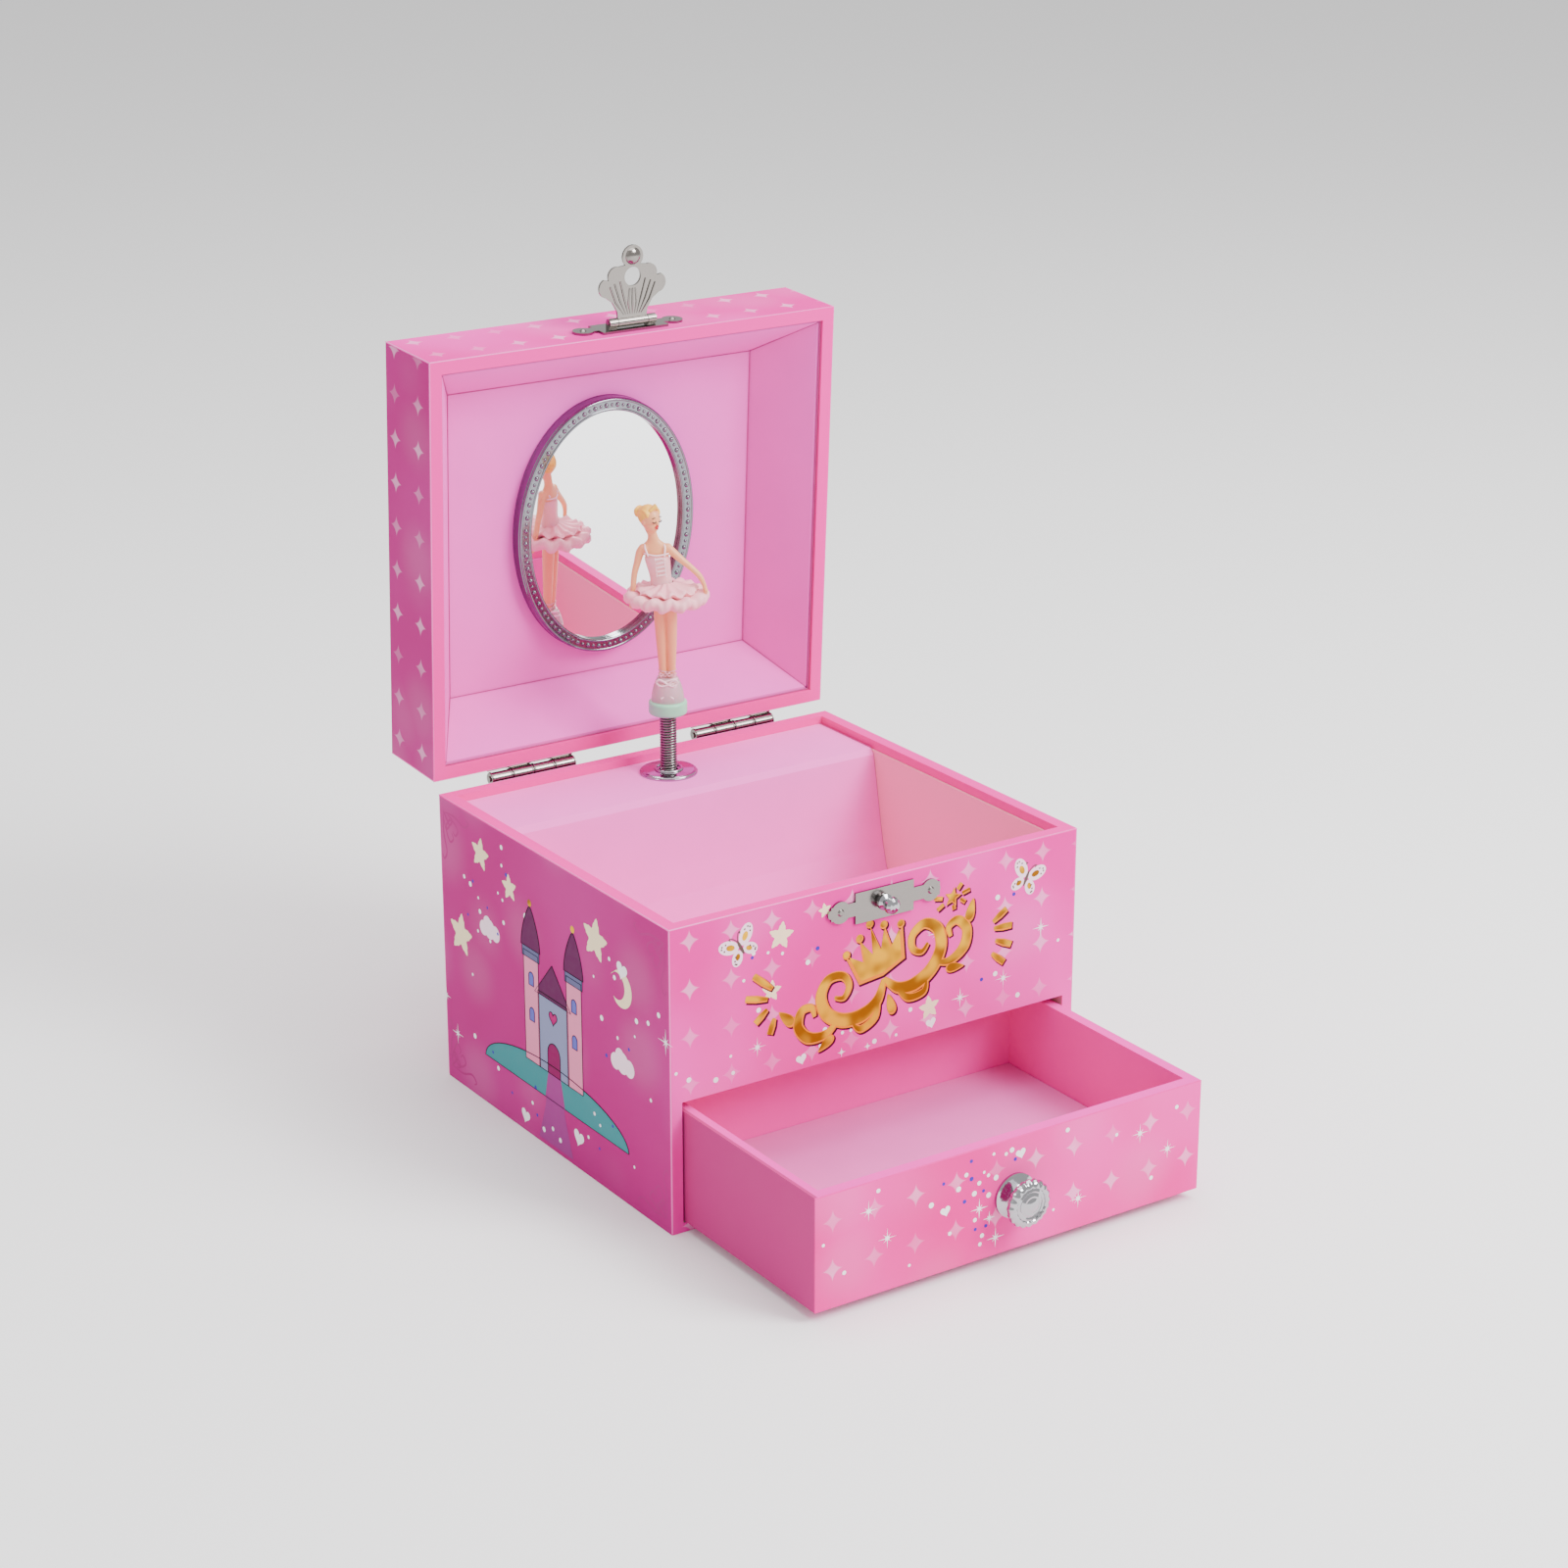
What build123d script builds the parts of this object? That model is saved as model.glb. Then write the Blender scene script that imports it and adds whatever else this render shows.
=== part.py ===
from build123d import *
import math
import os

os.makedirs("parts", exist_ok=True)

# A children's musical jewellery box: a paper-wrapped board case with a tray over a drawer, a mirror
# lid on two rear hinges, a shell hasp, and a key-wound movement that spins a dancer on a coil spring.
# Millimetres, Z up. X = 0 is the middle of the width, Y = 0 the middle of the depth, Z = 0 the table.

# Case and lid
case_width = 150.0
case_depth = 138.0
case_height = 98.0
lid_height = 29.0
lid_gap = 0.3  # the closed lid rides this far above the case rim
board = 3.6
skin = 0.4  # printed paper over the boards
wall = board + skin
corner_round = 0.8
turn_in = 2.6  # how far the printed paper folds down inside the rim
turn_skin = 0.3
lining = 1.0
nail_play = 0.05
bearing_play = 0.05

half_x = case_width / 2
half_y = case_depth / 2
in_x = half_x - wall
in_y = half_y - wall

# Drawer bay
bay_top = 42.5
floor_board = 3.0
deck_board = 2.5
deck_bottom = bay_top + skin
deck_top = deck_bottom + deck_board
bay_back_y = in_y - 38.5
bay_back_board = 2.4

# Drawer, closed with its front flush, stored pulled out
drawer_width = 140.6
drawer_height = 36.0
drawer_length = 92.7
drawer_lift = 3.4
drawer_board = 3.6
drawer_floor_rise = 9.0
drawer_pull = 68.1
knob_z = 21.0

# Tray and shelf
shelf_top = case_height - 2.5
shelf_board = 1.2
figure_x = 1.0
figure_y = in_y - 13.0

# Lid swing
hinge_y = half_y + 3.0
hinge_z = case_height + lid_gap / 2
hinge_x = 39.0
hinge_length = 31.5
barrel_r = 2.0
pin_r = 0.9
leaf_thick = 0.8
open_angle = 87.0

# Lid interior
lid_z0 = case_height + lid_gap
lid_z1 = lid_z0 + lid_height
panel_z = lid_z1 - 6.8
panel_x = in_x - 13.0
panel_y = in_y - 13.0
mirror_z = lid_z1 - 11.3
frame_a = 33.3
frame_b = 43.4
glass_a = 28.9
glass_b = 39.1

# Hasp and lock
lock_x = 1.0
lock_z = case_height - 7.8
hasp_reach = 14.4  # hasp pin to the middle of its hole
hasp_pin_z = lock_z + hasp_reach
hasp_pin_y = -half_y - leaf_thick - 1.8
hasp_hole_r = 3.0

# Movement
shaft_r = 1.2
drum_r = 12.3
cylinder_r = 6.5
cylinder_z = shelf_top - 28.9
cylinder_len = 18.0
key_z = shelf_top - 48.5
arbor_r = 2.0
peg_count = 30
peg_ring_r = 15.0
peg_r = 0.45
lantern_teeth = 12
drive_teeth = 40
drive_r = 10.0
pinion_teeth = 10
pinion_r = drive_r * pinion_teeth / drive_teeth
wheel_teeth = 16
wheel_r = 4.5
worm_starts = 2
worm_r = 2.0
plate_y = in_y - 2.0
gov_x = figure_x - drive_r - pinion_r
worm_x = gov_x - wheel_r - worm_r
worm_z = shelf_top - 16.9

# Spring and dancer
spring_z0 = shelf_top + 0.4
spring_z1 = shelf_top + 20.2
spring_r = 2.85
wire = 0.9
disc_z0 = shelf_top + 20.4
disc_z1 = shelf_top + 24.9
disc_r = 6.3
legs_z = shelf_top + 32.8
head_top = shelf_top + 91.1
lean = 5.5  # the head leans this far off the spin axis
facing = -34.0  # the dancer's chest turns this far from straight ahead


def slab(x0, x1, y0, y1, z0, z1, mode=Mode.ADD):
    with Locations(((x0 + x1) / 2, (y0 + y1) / 2, (z0 + z1) / 2)):
        Box(x1 - x0, y1 - y0, z1 - z0, mode=mode)


def drill_y(x, z, radius, y0, y1):
    with Locations(Location((x, (y0 + y1) / 2, z), (90, 0, 0))):
        Cylinder(radius, y1 - y0, mode=Mode.SUBTRACT)


def rod_y(x, z, radius, y0, y1):
    with Locations(Location((x, (y0 + y1) / 2, z), (90, 0, 0))):
        Cylinder(radius, y1 - y0)


def rod_x(y, z, radius, x0, x1, mode=Mode.ADD):
    with Locations(Location(((x0 + x1) / 2, y, z), (0, 90, 0))):
        Cylinder(radius, x1 - x0, mode=mode)


def rod_z(x, y, radius, z0, z1, mode=Mode.ADD):
    with Locations((x, y, (z0 + z1) / 2)):
        Cylinder(radius, z1 - z0, mode=mode)


def nail(x, z, y_face, out):
    # a domed nail in a front or rear face; out is -1 for a head facing -Y and 1 for +Y
    rod_y(x, z, nail_r, min(y_face, y_face - out * nail_len), max(y_face, y_face - out * nail_len))
    with Locations(Location((x, y_face, z), (90 if out < 0 else -90, 0, 0))):
        Cone(nail_head_r, nail_head_r * 0.6, 0.5, align=(Align.CENTER, Align.CENTER, Align.MIN))


def save(block, name, place=None):
    block.part.label = name
    shape = block.part if place is None else block.part.moved(place)
    shape.label = name
    export_step(shape, f"parts/{name}.step")


def teeth(count, root, tip, root_width, tip_width, first=0.0):
    # a toothed wheel's outline: a disc with trapezoid teeth
    Circle(root)
    with PolarLocations(0, count, start_angle=first):
        Polygon(
            (root - 0.3, -root_width / 2), (tip, -tip_width / 2),
            (tip, tip_width / 2), (root - 0.3, root_width / 2), align=None,
        )


nail_r = 0.5
nail_len = 3.4
nail_head_r = 1.2
lock_nails = (lock_x - 16.1, lock_x + 17.1)
hasp_nails = (lock_x - 16.6, lock_x + 16.6)
hasp_nail_z = hasp_pin_z + 2.2
hinge_nails = (-11.8, 11.8)
case_leaf_z = case_height - 7.4
lid_leaf_z = 2 * hinge_z - case_leaf_z
swing = Pos(0, hinge_y, hinge_z) * Rot(-open_angle, 0, 0) * Pos(0, -hinge_y, -hinge_z)
pull = Pos(0, -drawer_pull, 0)

# ---------------------------------------------------------------- case boards
with BuildPart() as case_left_side:
    slab(-half_x + skin, -in_x, -half_y + skin, half_y - skin, 0, case_height - skin)
with BuildPart() as case_right_side:
    slab(in_x, half_x - skin, -half_y + skin, half_y - skin, 0, case_height - skin)
with BuildPart() as case_rear_wall:
    slab(-in_x, in_x, in_y, half_y - skin, 0, case_height - skin)
    drill_y(figure_x, key_z, arbor_r + 1.0, in_y - 1, half_y + 1)
    for middle in (-hinge_x, hinge_x):
        for offset in hinge_nails:
            drill_y(middle + offset, case_leaf_z, nail_r + nail_play, half_y - 3.2, half_y)
with BuildPart() as case_front_panel:
    slab(-in_x, in_x, -half_y + skin, -in_y, deck_bottom, case_height - skin)
    for x in lock_nails:
        drill_y(x, lock_z, nail_r + nail_play, -half_y, -half_y + 3.2)
    drill_y(lock_x, lock_z, 1.05, -half_y, -in_y + 1)
with BuildPart() as case_bottom_panel:
    slab(-in_x, in_x, -half_y + skin, in_y, 0, floor_board)
with BuildPart() as drawer_deck:
    slab(-in_x, in_x, -in_y, bay_back_y, deck_bottom, deck_top)
with BuildPart() as bay_back_panel:
    slab(-in_x, in_x, bay_back_y, bay_back_y + bay_back_board, floor_board, deck_top)

# printed paper over the outside, the rim and just inside it
with BuildPart() as case_wrap:
    slab(-half_x, half_x, -half_y, half_y, 0, case_height)
    fillet(case_wrap.edges().filter_by(Axis.Z), corner_round)
    slab(-half_x + skin, half_x - skin, -half_y + skin, half_y - skin, 0, case_height - skin, Mode.SUBTRACT)
    fold_x = in_x - turn_skin
    fold_y = in_y - turn_skin
    slab(-in_x, in_x, -in_y, in_y, case_height - skin - turn_in, case_height)
    slab(-fold_x, fold_x, -fold_y, fold_y, case_height - skin - turn_in, case_height, Mode.SUBTRACT)
    slab(-in_x, in_x, -half_y - 1, -half_y + skin, floor_board, bay_top, Mode.SUBTRACT)
    slab(-in_x, in_x, -half_y, -in_y, bay_top, deck_bottom)
    drill_y(figure_x, key_z, arbor_r + 1.0, half_y - 1, half_y + 1)
    for x in lock_nails:
        drill_y(x, lock_z, nail_r + nail_play, -half_y - 1, -half_y + 1)
    drill_y(lock_x, lock_z, 1.05, -half_y - 1, -half_y + 1)
    for middle in (-hinge_x, hinge_x):
        for offset in hinge_nails:
            drill_y(middle + offset, case_leaf_z, nail_r + nail_play, half_y - 1, half_y + 1)

# ---------------------------------------------------------------- tray
line_top = case_height - skin - turn_in - 0.1
line_z0 = deck_top
with BuildPart() as tray_lining:
    slab(-in_x, -in_x + lining, -in_y, in_y, line_z0, line_top)
    slab(in_x - lining, in_x, -in_y, in_y, line_z0, line_top)
    slab(-in_x + lining + 0.1, in_x - lining - 0.1, -in_y, -in_y + lining, line_z0, line_top)
tray_x = in_x - lining - 0.2
tray_y = in_y - lining - 0.1
tray_end_y = in_y - 53.0
with BuildPart() as tray_floor_lining:
    slab(-tray_x, tray_x, -tray_y, tray_end_y, deck_top, deck_top + lining)

# shelf over the movement bay, with a curved front that falls into the tray
floor_z = deck_top + lining
shelf_drop = shelf_top - floor_z
shelf_curve = [
    (30.4, 0.0), (32.0, 0.039), (32.7, 0.112), (34.3, 0.283), (36.2, 0.487), (38.1, 0.663),
    (40.4, 0.82), (44.0, 0.939), (48.0, 0.98), (52.6, 1.0),
]
shelf_line = [(in_y - back, shelf_top - shelf_drop * drop) for back, drop in shelf_curve]


def offset_line(points, distance):
    moved = []
    for i in range(len(points)):
        a = points[max(i - 1, 0)]
        b = points[min(i + 1, len(points) - 1)]
        dy = b[0] - a[0]
        dz = b[1] - a[1]
        size = math.hypot(dy, dz)
        moved.append((points[i][0] - distance * dz / size, points[i][1] + distance * dy / size))
    return moved


shelf_rear = in_y - turn_skin - 0.1
under_line = offset_line(shelf_line[1:-1], shelf_board)
with BuildPart() as shelf_panel:
    with BuildSketch(Plane.YZ) as profile:
        with BuildLine():
            Polyline(
                [(shelf_rear, shelf_top)] + shelf_line
                + [(in_y - 52.6, deck_top), (in_y - 48.6, deck_top)]
                + under_line[::-1]
                + [(in_y - 30.2, shelf_top - shelf_board), (shelf_rear, shelf_top - shelf_board)],
                close=True,
            )
        make_face()
    extrude(amount=tray_x, both=True)
    rod_z(figure_x, figure_y, 4.25, shelf_top - 4, shelf_top + 2, Mode.SUBTRACT)

with BuildPart() as spring_grommet:
    with BuildSketch(Plane.XZ.offset(-figure_y)) as ring:
        with BuildLine():
            Polyline(
                (figure_x + 3.2, shelf_top - 2.1), (figure_x + 4.1, shelf_top - 2.1),
                (figure_x + 4.1, shelf_top),
                (figure_x + 9.5, shelf_top), (figure_x + 9.5, shelf_top + 0.5),
                (figure_x + 8.4, shelf_top + 1.1), (figure_x + 4.0, shelf_top + 1.3),
                (figure_x + 3.2, shelf_top + 0.9), close=True,
            )
        make_face()
    revolve(axis=Axis((figure_x, figure_y, 0), (0, 0, 1)))

# ---------------------------------------------------------------- lock plate, stud and nails
with BuildPart() as lock_plate:
    with BuildSketch(Plane.XZ.offset(half_y)):
        with Locations((lock_x, lock_z)):
            Rectangle(21.4, 9.9)
        with Locations((lock_nails[0] + 1.6, lock_z), (lock_nails[1] - 1.6, lock_z)):
            Rectangle(10.0, 4.4)
        with Locations((lock_nails[0], lock_z), (lock_nails[1], lock_z)):
            Circle(3.5)
        with Locations((lock_x - 20.6 + 1.4, lock_z), (lock_x + 20.6 - 1.4, lock_z)):
            Circle(1.5)
        with Locations((lock_nails[0], lock_z), (lock_nails[1], lock_z)):
            Circle(nail_r + nail_play, mode=Mode.SUBTRACT)
        with Locations((lock_x, lock_z)):
            Circle(1.05, mode=Mode.SUBTRACT)
    extrude(amount=leaf_thick)
with BuildPart() as lock_stud:
    with BuildSketch(Plane.XY) as outline:
        with BuildLine():
            Polyline(
                (lock_x, -half_y + 3.9), (lock_x + 1.0, -half_y + 3.9), (lock_x + 1.0, -half_y - 0.8),
                (lock_x + 2.6, -half_y - 0.8), (lock_x + 2.6, -half_y - 1.3), (lock_x + 1.5, -half_y - 2.0),
                (lock_x + 1.5, -half_y - 2.6), (lock_x + 2.3, -half_y - 3.2), (lock_x + 2.7, -half_y - 4.2),
                (lock_x + 2.5, -half_y - 5.2), (lock_x + 1.7, -half_y - 6.0), (lock_x + 0.8, -half_y - 6.3),
                (lock_x, -half_y - 6.4), close=True,
            )
        make_face()
    revolve(axis=Axis((lock_x, 0, 0), (0, 1, 0)))
lock_stud_place = Pos(0, 0, lock_z)
with BuildPart() as case_nails:
    for x in lock_nails:
        nail(x, lock_z, -half_y - leaf_thick, -1)
    for middle in (-hinge_x, hinge_x):
        for offset in hinge_nails:
            nail(middle + offset, case_leaf_z, half_y + leaf_thick, 1)

# ---------------------------------------------------------------- hinges
knuckle = hinge_length / 4
knuckle_gap = 0.12


def hinge_leaf(middle, first, up):
    # up is 1 for the lid leaf and -1 for the case leaf
    z_near = hinge_z + up * 1.05
    z_web = hinge_z + up * 1.85
    z_far = hinge_z + up * 12.4
    low, high = min(z_near, z_far), max(z_near, z_far)
    slab(middle - hinge_length / 2, middle + hinge_length / 2, half_y, half_y + leaf_thick, low, high)
    for k in (first, first + 2):
        x0 = middle - hinge_length / 2 + k * knuckle + knuckle_gap
        x1 = x0 + knuckle - 2 * knuckle_gap
        slab(x0, x1, half_y, hinge_y, min(z_near, z_web), max(z_near, z_web))
        rod_x(hinge_y, hinge_z, barrel_r, x0, x1)
        rod_x(hinge_y, hinge_z, pin_r + nail_play, x0 - 1, x1 + 1, Mode.SUBTRACT)
    for offset in hinge_nails:
        leaf_z = case_leaf_z if up < 0 else lid_leaf_z
        drill_y(middle + offset, leaf_z, nail_r + nail_play, half_y - 1, half_y + 2)
    # clear the other leaf's knuckles
    for k in (1 - first, 3 - first):
        x0 = middle - hinge_length / 2 + k * knuckle - knuckle_gap
        rod_x(hinge_y, hinge_z, barrel_r + 0.25, x0, x0 + knuckle + 2 * knuckle_gap, Mode.SUBTRACT)


with BuildPart() as hinge_case_leaves:
    hinge_leaf(-hinge_x, 0, -1)
    hinge_leaf(hinge_x, 0, -1)
with BuildPart() as hinge_lid_leaves:
    hinge_leaf(-hinge_x, 1, 1)
    hinge_leaf(hinge_x, 1, 1)
with BuildPart() as hinge_pins:
    for middle in (-hinge_x, hinge_x):
        rod_x(hinge_y, hinge_z, pin_r, middle - hinge_length / 2 - 0.3, middle + hinge_length / 2 + 0.3)

# ---------------------------------------------------------------- movement frame
comb_screws = (cylinder_z + 4.4, cylinder_z + 13.6)
frame_screws = (key_z - 15.0, key_z + 9.0)
with BuildPart() as movement_base:
    slab(figure_x - 28, figure_x + 30, plate_y, in_y, shelf_top - 69.5, shelf_top - 3.5)
    slab(figure_x - 5, figure_x + 5, figure_y - 4, plate_y, shelf_top - 31.3, shelf_top - 29.9)
    slab(figure_x - 5, figure_x + 5, figure_y - 4, plate_y, shelf_top - 8.1, shelf_top - 6.7)
    slab(figure_x + 21, figure_x + 29, figure_y + 1, plate_y, shelf_top - 29.1, shelf_top - 10.7)
    slab(figure_x - 9, figure_x + 9, figure_y - 6, plate_y, shelf_top - 69.5, shelf_top - 65.5)
    drill_y(figure_x, key_z, arbor_r + bearing_play, plate_y - 1, in_y + 1)
    rod_z(figure_x, figure_y, shaft_r + bearing_play, shelf_top - 35.5, shelf_top - 5.5, Mode.SUBTRACT)
    for z in comb_screws:
        drill_y(figure_x + 25, z, 0.85, figure_y, figure_y + 8)
    for x in (figure_x - 26, figure_x + 26):
        for z in frame_screws:
            drill_y(x, z, 1.05, plate_y - 1, in_y + 1)
with BuildPart() as movement_screws:
    for x in (figure_x - 26, figure_x + 26):
        for z in frame_screws:
            rod_y(x, z, 1.0, plate_y, in_y)
            rod_y(x, z, 2.0, plate_y - 1.2, plate_y)
    for z in comb_screws:
        rod_y(figure_x + 25, z, 0.8, figure_y - 0.2, figure_y + 7)
        rod_y(figure_x + 25, z, 1.7, figure_y - 1.4, figure_y - 0.2)
with BuildPart() as spring_housing:
    rod_y(figure_x, key_z, drum_r, figure_y - 6, figure_y + 6.2)
    slab(figure_x - 7, figure_x + 7, figure_y - 6, figure_y + 4.4, shelf_top - 65.5, shelf_top - 58.5)
    drill_y(figure_x, key_z, drum_r - 1.0, figure_y - 4.8, figure_y + 7)
    drill_y(figure_x, key_z, arbor_r + bearing_play, figure_y - 7, figure_y)
coil_turns = 5
coil_steps = 12 * coil_turns
coil_points = []
coil_outer = []
for i in range(coil_steps + 1):
    angle = math.pi * i / 6
    coil_r = 3.0 + 7.6 * i / coil_steps
    coil_points.append((coil_r * math.cos(angle), coil_r * math.sin(angle)))
    coil_outer.append(((coil_r + 0.5) * math.cos(angle), (coil_r + 0.5) * math.sin(angle)))
with BuildPart() as mainspring:
    with BuildSketch(Plane(origin=(figure_x, figure_y - 4.4, key_z), x_dir=(1, 0, 0), z_dir=(0, 1, 0))):
        with BuildLine():
            Spline(*coil_points)
            Line(coil_points[-1], coil_outer[-1])
            Spline(*coil_outer[::-1])
            Line(coil_outer[0], coil_points[0])
        make_face()
    extrude(amount=9.6)

# steel comb, its long edge of teeth reaching for the pins
comb_tip = figure_x + cylinder_r + 0.7
comb_root = figure_x + 20
with BuildPart() as comb:
    slab(comb_tip, figure_x + 29, figure_y - 0.2, figure_y + 1.0, cylinder_z, cylinder_z + cylinder_len)
    for i in range(17):
        z = cylinder_z + 1.0 + i
        slit_end = comb_root - i * 0.35
        slab(comb_tip - 1, slit_end, figure_y - 2, figure_y + 2, z - 0.12, z + 0.12, Mode.SUBTRACT)
    for z in comb_screws:
        drill_y(figure_x + 25, z, 0.85, figure_y - 1, figure_y + 2)
with BuildPart() as governor_bracket:
    slab(worm_x - 7.2, figure_x - 10, plate_y - 1.6, plate_y, shelf_top - 23.1, shelf_top - 4.5)
    slab(worm_x - 7.2, worm_x - 6.0, figure_y - 16, plate_y, worm_z - 2.5, worm_z + 2.5)
    slab(worm_x - 7.2, worm_x + 3, figure_y - 16, figure_y - 14.8, worm_z - 2.5, worm_z + 2.5)
    slab(gov_x - 2.5, gov_x + 2.0, figure_y - 2.5, plate_y, shelf_top - 23.1, shelf_top - 21.9)
    slab(gov_x - 2.5, gov_x + 2.0, figure_y - 2.5, plate_y, shelf_top - 6.3, shelf_top - 5.1)
    rod_z(gov_x, figure_y, 0.65, shelf_top - 25.5, shelf_top - 3.5, Mode.SUBTRACT)
    drill_y(worm_x, worm_z, 0.65, figure_y - 17, figure_y + 10.4)

# ---------------------------------------------------------------- key, arbor and great wheel
with BuildPart() as winding_arbor:
    rod_y(figure_x, key_z, arbor_r, figure_y - 6.6, half_y + 8)
with BuildPart() as winding_key:
    rod_y(figure_x, key_z, 3.2, half_y + 3.0, half_y + 13.0)
    with BuildSketch(Plane.XZ.offset(-half_y - 17.0)):
        with Locations((figure_x - 7.0, key_z), (figure_x + 7.0, key_z)):
            Ellipse(6.6, 5.4)
        with Locations((figure_x, key_z)):
            Rectangle(8, 5.6)
        with Locations((figure_x - 7.8, key_z), (figure_x + 7.8, key_z)):
            Circle(2.4, mode=Mode.SUBTRACT)
    extrude(amount=2.0, both=True)
    with BuildSketch(Plane.XZ.offset(-half_y - 13.0)):
        with Locations((figure_x, key_z)):
            Circle(3.2)
    extrude(amount=-3.0)
    drill_y(figure_x, key_z, arbor_r + 0.02, half_y + 2, half_y + 8.2)
with BuildPart() as great_wheel:
    rod_y(figure_x, key_z, peg_ring_r + 1.2, figure_y + 7.2, figure_y + 8.7)
    rod_y(figure_x, key_z, 4.0, figure_y + 8.7, figure_y + 10.6)
    with Locations(Location((figure_x, figure_y + 6.05, key_z), (90, 0, 0))):
        with PolarLocations(peg_ring_r, peg_count, start_angle=90):
            Cylinder(peg_r, 2.3)
    drill_y(figure_x, key_z, arbor_r + 0.02, figure_y, figure_y + 12)

# ---------------------------------------------------------------- music cylinder and its shaft
with BuildPart() as cylinder_arbor:
    rod_z(figure_x, figure_y, shaft_r, shelf_top - 35.9, shelf_top + 3.5)
    rod_z(figure_x, figure_y, spring_r - wire - 0.1, shelf_top + 0.5, shelf_top + 4.1)
with BuildPart() as lantern_pinion:
    with BuildSketch(Plane.XY.offset(shelf_top - 34.7)):
        with Locations((figure_x, figure_y)):
            teeth(lantern_teeth, 4.5, 6.5, 1.15, 0.85, 90 + 180 / lantern_teeth)
            Circle(shaft_r + 0.02, mode=Mode.SUBTRACT)
    extrude(amount=2.4)
with BuildPart() as music_cylinder:
    rod_z(figure_x, figure_y, cylinder_r, cylinder_z, cylinder_z + cylinder_len)
    for i in range(18):
        for j in range(3):
            turn = (i * 137.5 + j * 110 + 37) % 360
            spot = Location((figure_x, figure_y, cylinder_z + 0.5 + i), (0, 0, turn))
            with Locations(spot * Location((cylinder_r + 0.1, 0, 0), (0, 90, 0))):
                Cylinder(0.25, 0.7)
    rod_z(figure_x, figure_y, shaft_r + 0.02, cylinder_z - 1, cylinder_z + 20, Mode.SUBTRACT)
with BuildPart() as drive_gear:
    with BuildSketch(Plane.XY.offset(shelf_top - 10.3)):
        with Locations((figure_x, figure_y)):
            teeth(drive_teeth, drive_r - 0.6, drive_r + 0.35, 0.75, 0.38)
            Circle(shaft_r + 0.02, mode=Mode.SUBTRACT)
    extrude(amount=1.2)

# ---------------------------------------------------------------- governor
with BuildPart() as governor_wheel:
    rod_z(gov_x, figure_y, 0.6, shelf_top - 22.9, shelf_top - 5.3)
    with BuildSketch(Plane.XY.offset(shelf_top - 10.6)):
        with Locations((gov_x, figure_y)):
            teeth(pinion_teeth, pinion_r - 0.6, pinion_r + 0.35, 0.7, 0.38, 180 / pinion_teeth)
    extrude(amount=1.8)
    with BuildSketch(Plane.XY.offset(worm_z - 0.6)):
        with Locations((gov_x, figure_y)):
            teeth(wheel_teeth, wheel_r - 0.7, wheel_r + 0.35, 0.55, 0.34)
    extrude(amount=1.2)
tooth_step = 2 * math.pi * wheel_r / wheel_teeth
lead = tooth_step * worm_starts
worm_root = worm_r - 0.5
worm_place = Plane(
    origin=(worm_x, figure_y - 1.5 * tooth_step, worm_z), x_dir=(1, 0, 0), z_dir=(0, 1, 0)
).location
with BuildPart() as worm_thread:
    with BuildLine() as thread_path:
        Helix(lead, 1.5 * lead, worm_root)
    with BuildSketch(Plane(origin=thread_path.line @ 0, x_dir=(1, 0, 0), z_dir=thread_path.line % 0)):
        Polygon((-0.2, -0.24), (0.82, -0.15), (0.82, 0.15), (-0.2, 0.24), align=None)
    sweep(path=thread_path.line, is_frenet=True)
with BuildPart() as governor_worm:
    rod_z(0, 0, worm_root, -0.6, 1.5 * lead + 0.6)
    add(worm_thread.part)
    add(worm_thread.part, rotation=(0, 0, 180))
    rod_z(0, 0, 0.6, -12.5, 12.0)
with BuildPart() as air_brake:
    slab(worm_x - 5.0, worm_x + 5.0, figure_y - 12.2, figure_y - 6.2, worm_z - 0.2, worm_z + 0.2)
    rod_y(worm_x, worm_z, 1.3, figure_y - 12.2, figure_y - 6.2)
    drill_y(worm_x, worm_z, 0.62, figure_y - 13, figure_y - 5)

# ---------------------------------------------------------------- spring and dancer
coils = 22
coil_step = (spring_z1 - spring_z0) / coils
with BuildPart() as figure_spring:
    with BuildSketch(Plane.XZ.offset(-figure_y)):
        with BuildLine():
            Polyline(
                [(figure_x + spring_r - wire, spring_z0)]
                + [
                    (figure_x + spring_r - (0.35 if i % 2 == 0 else 0.0), spring_z0 + i * coil_step / 2)
                    for i in range(2 * coils + 1)
                ]
                + [(figure_x + spring_r - wire, spring_z1)],
                close=True,
            )
        make_face()
    revolve(axis=Axis((figure_x, figure_y, 0), (0, 0, 1)))
with BuildPart() as stand_disc:
    rod_z(figure_x, figure_y, disc_r, disc_z0, disc_z1)
    fillet(stand_disc.edges(), 0.9)
    rod_z(figure_x, figure_y, spring_r - wire - 0.1, disc_z0 - 3.6, disc_z0 + 1)

side_x = math.cos(math.radians(facing))
side_y = math.sin(math.radians(facing))


def spot(across, height, forward=0.0):
    # a point on the dancer: across to her left hand side of the view, above the shelf, towards the front
    return (
        figure_x + across * side_x + forward * side_y,
        figure_y + across * side_y - forward * side_x,
        shelf_top + height,
    )


def ring_at(across, height, wide, deep, forward=0.0):
    place = Plane(origin=spot(across, height, forward), x_dir=(side_x, side_y, 0), z_dir=(0, 0, 1))
    with BuildSketch(place) as section:
        Ellipse(wide, deep)
    return section.sketch.face()


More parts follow.
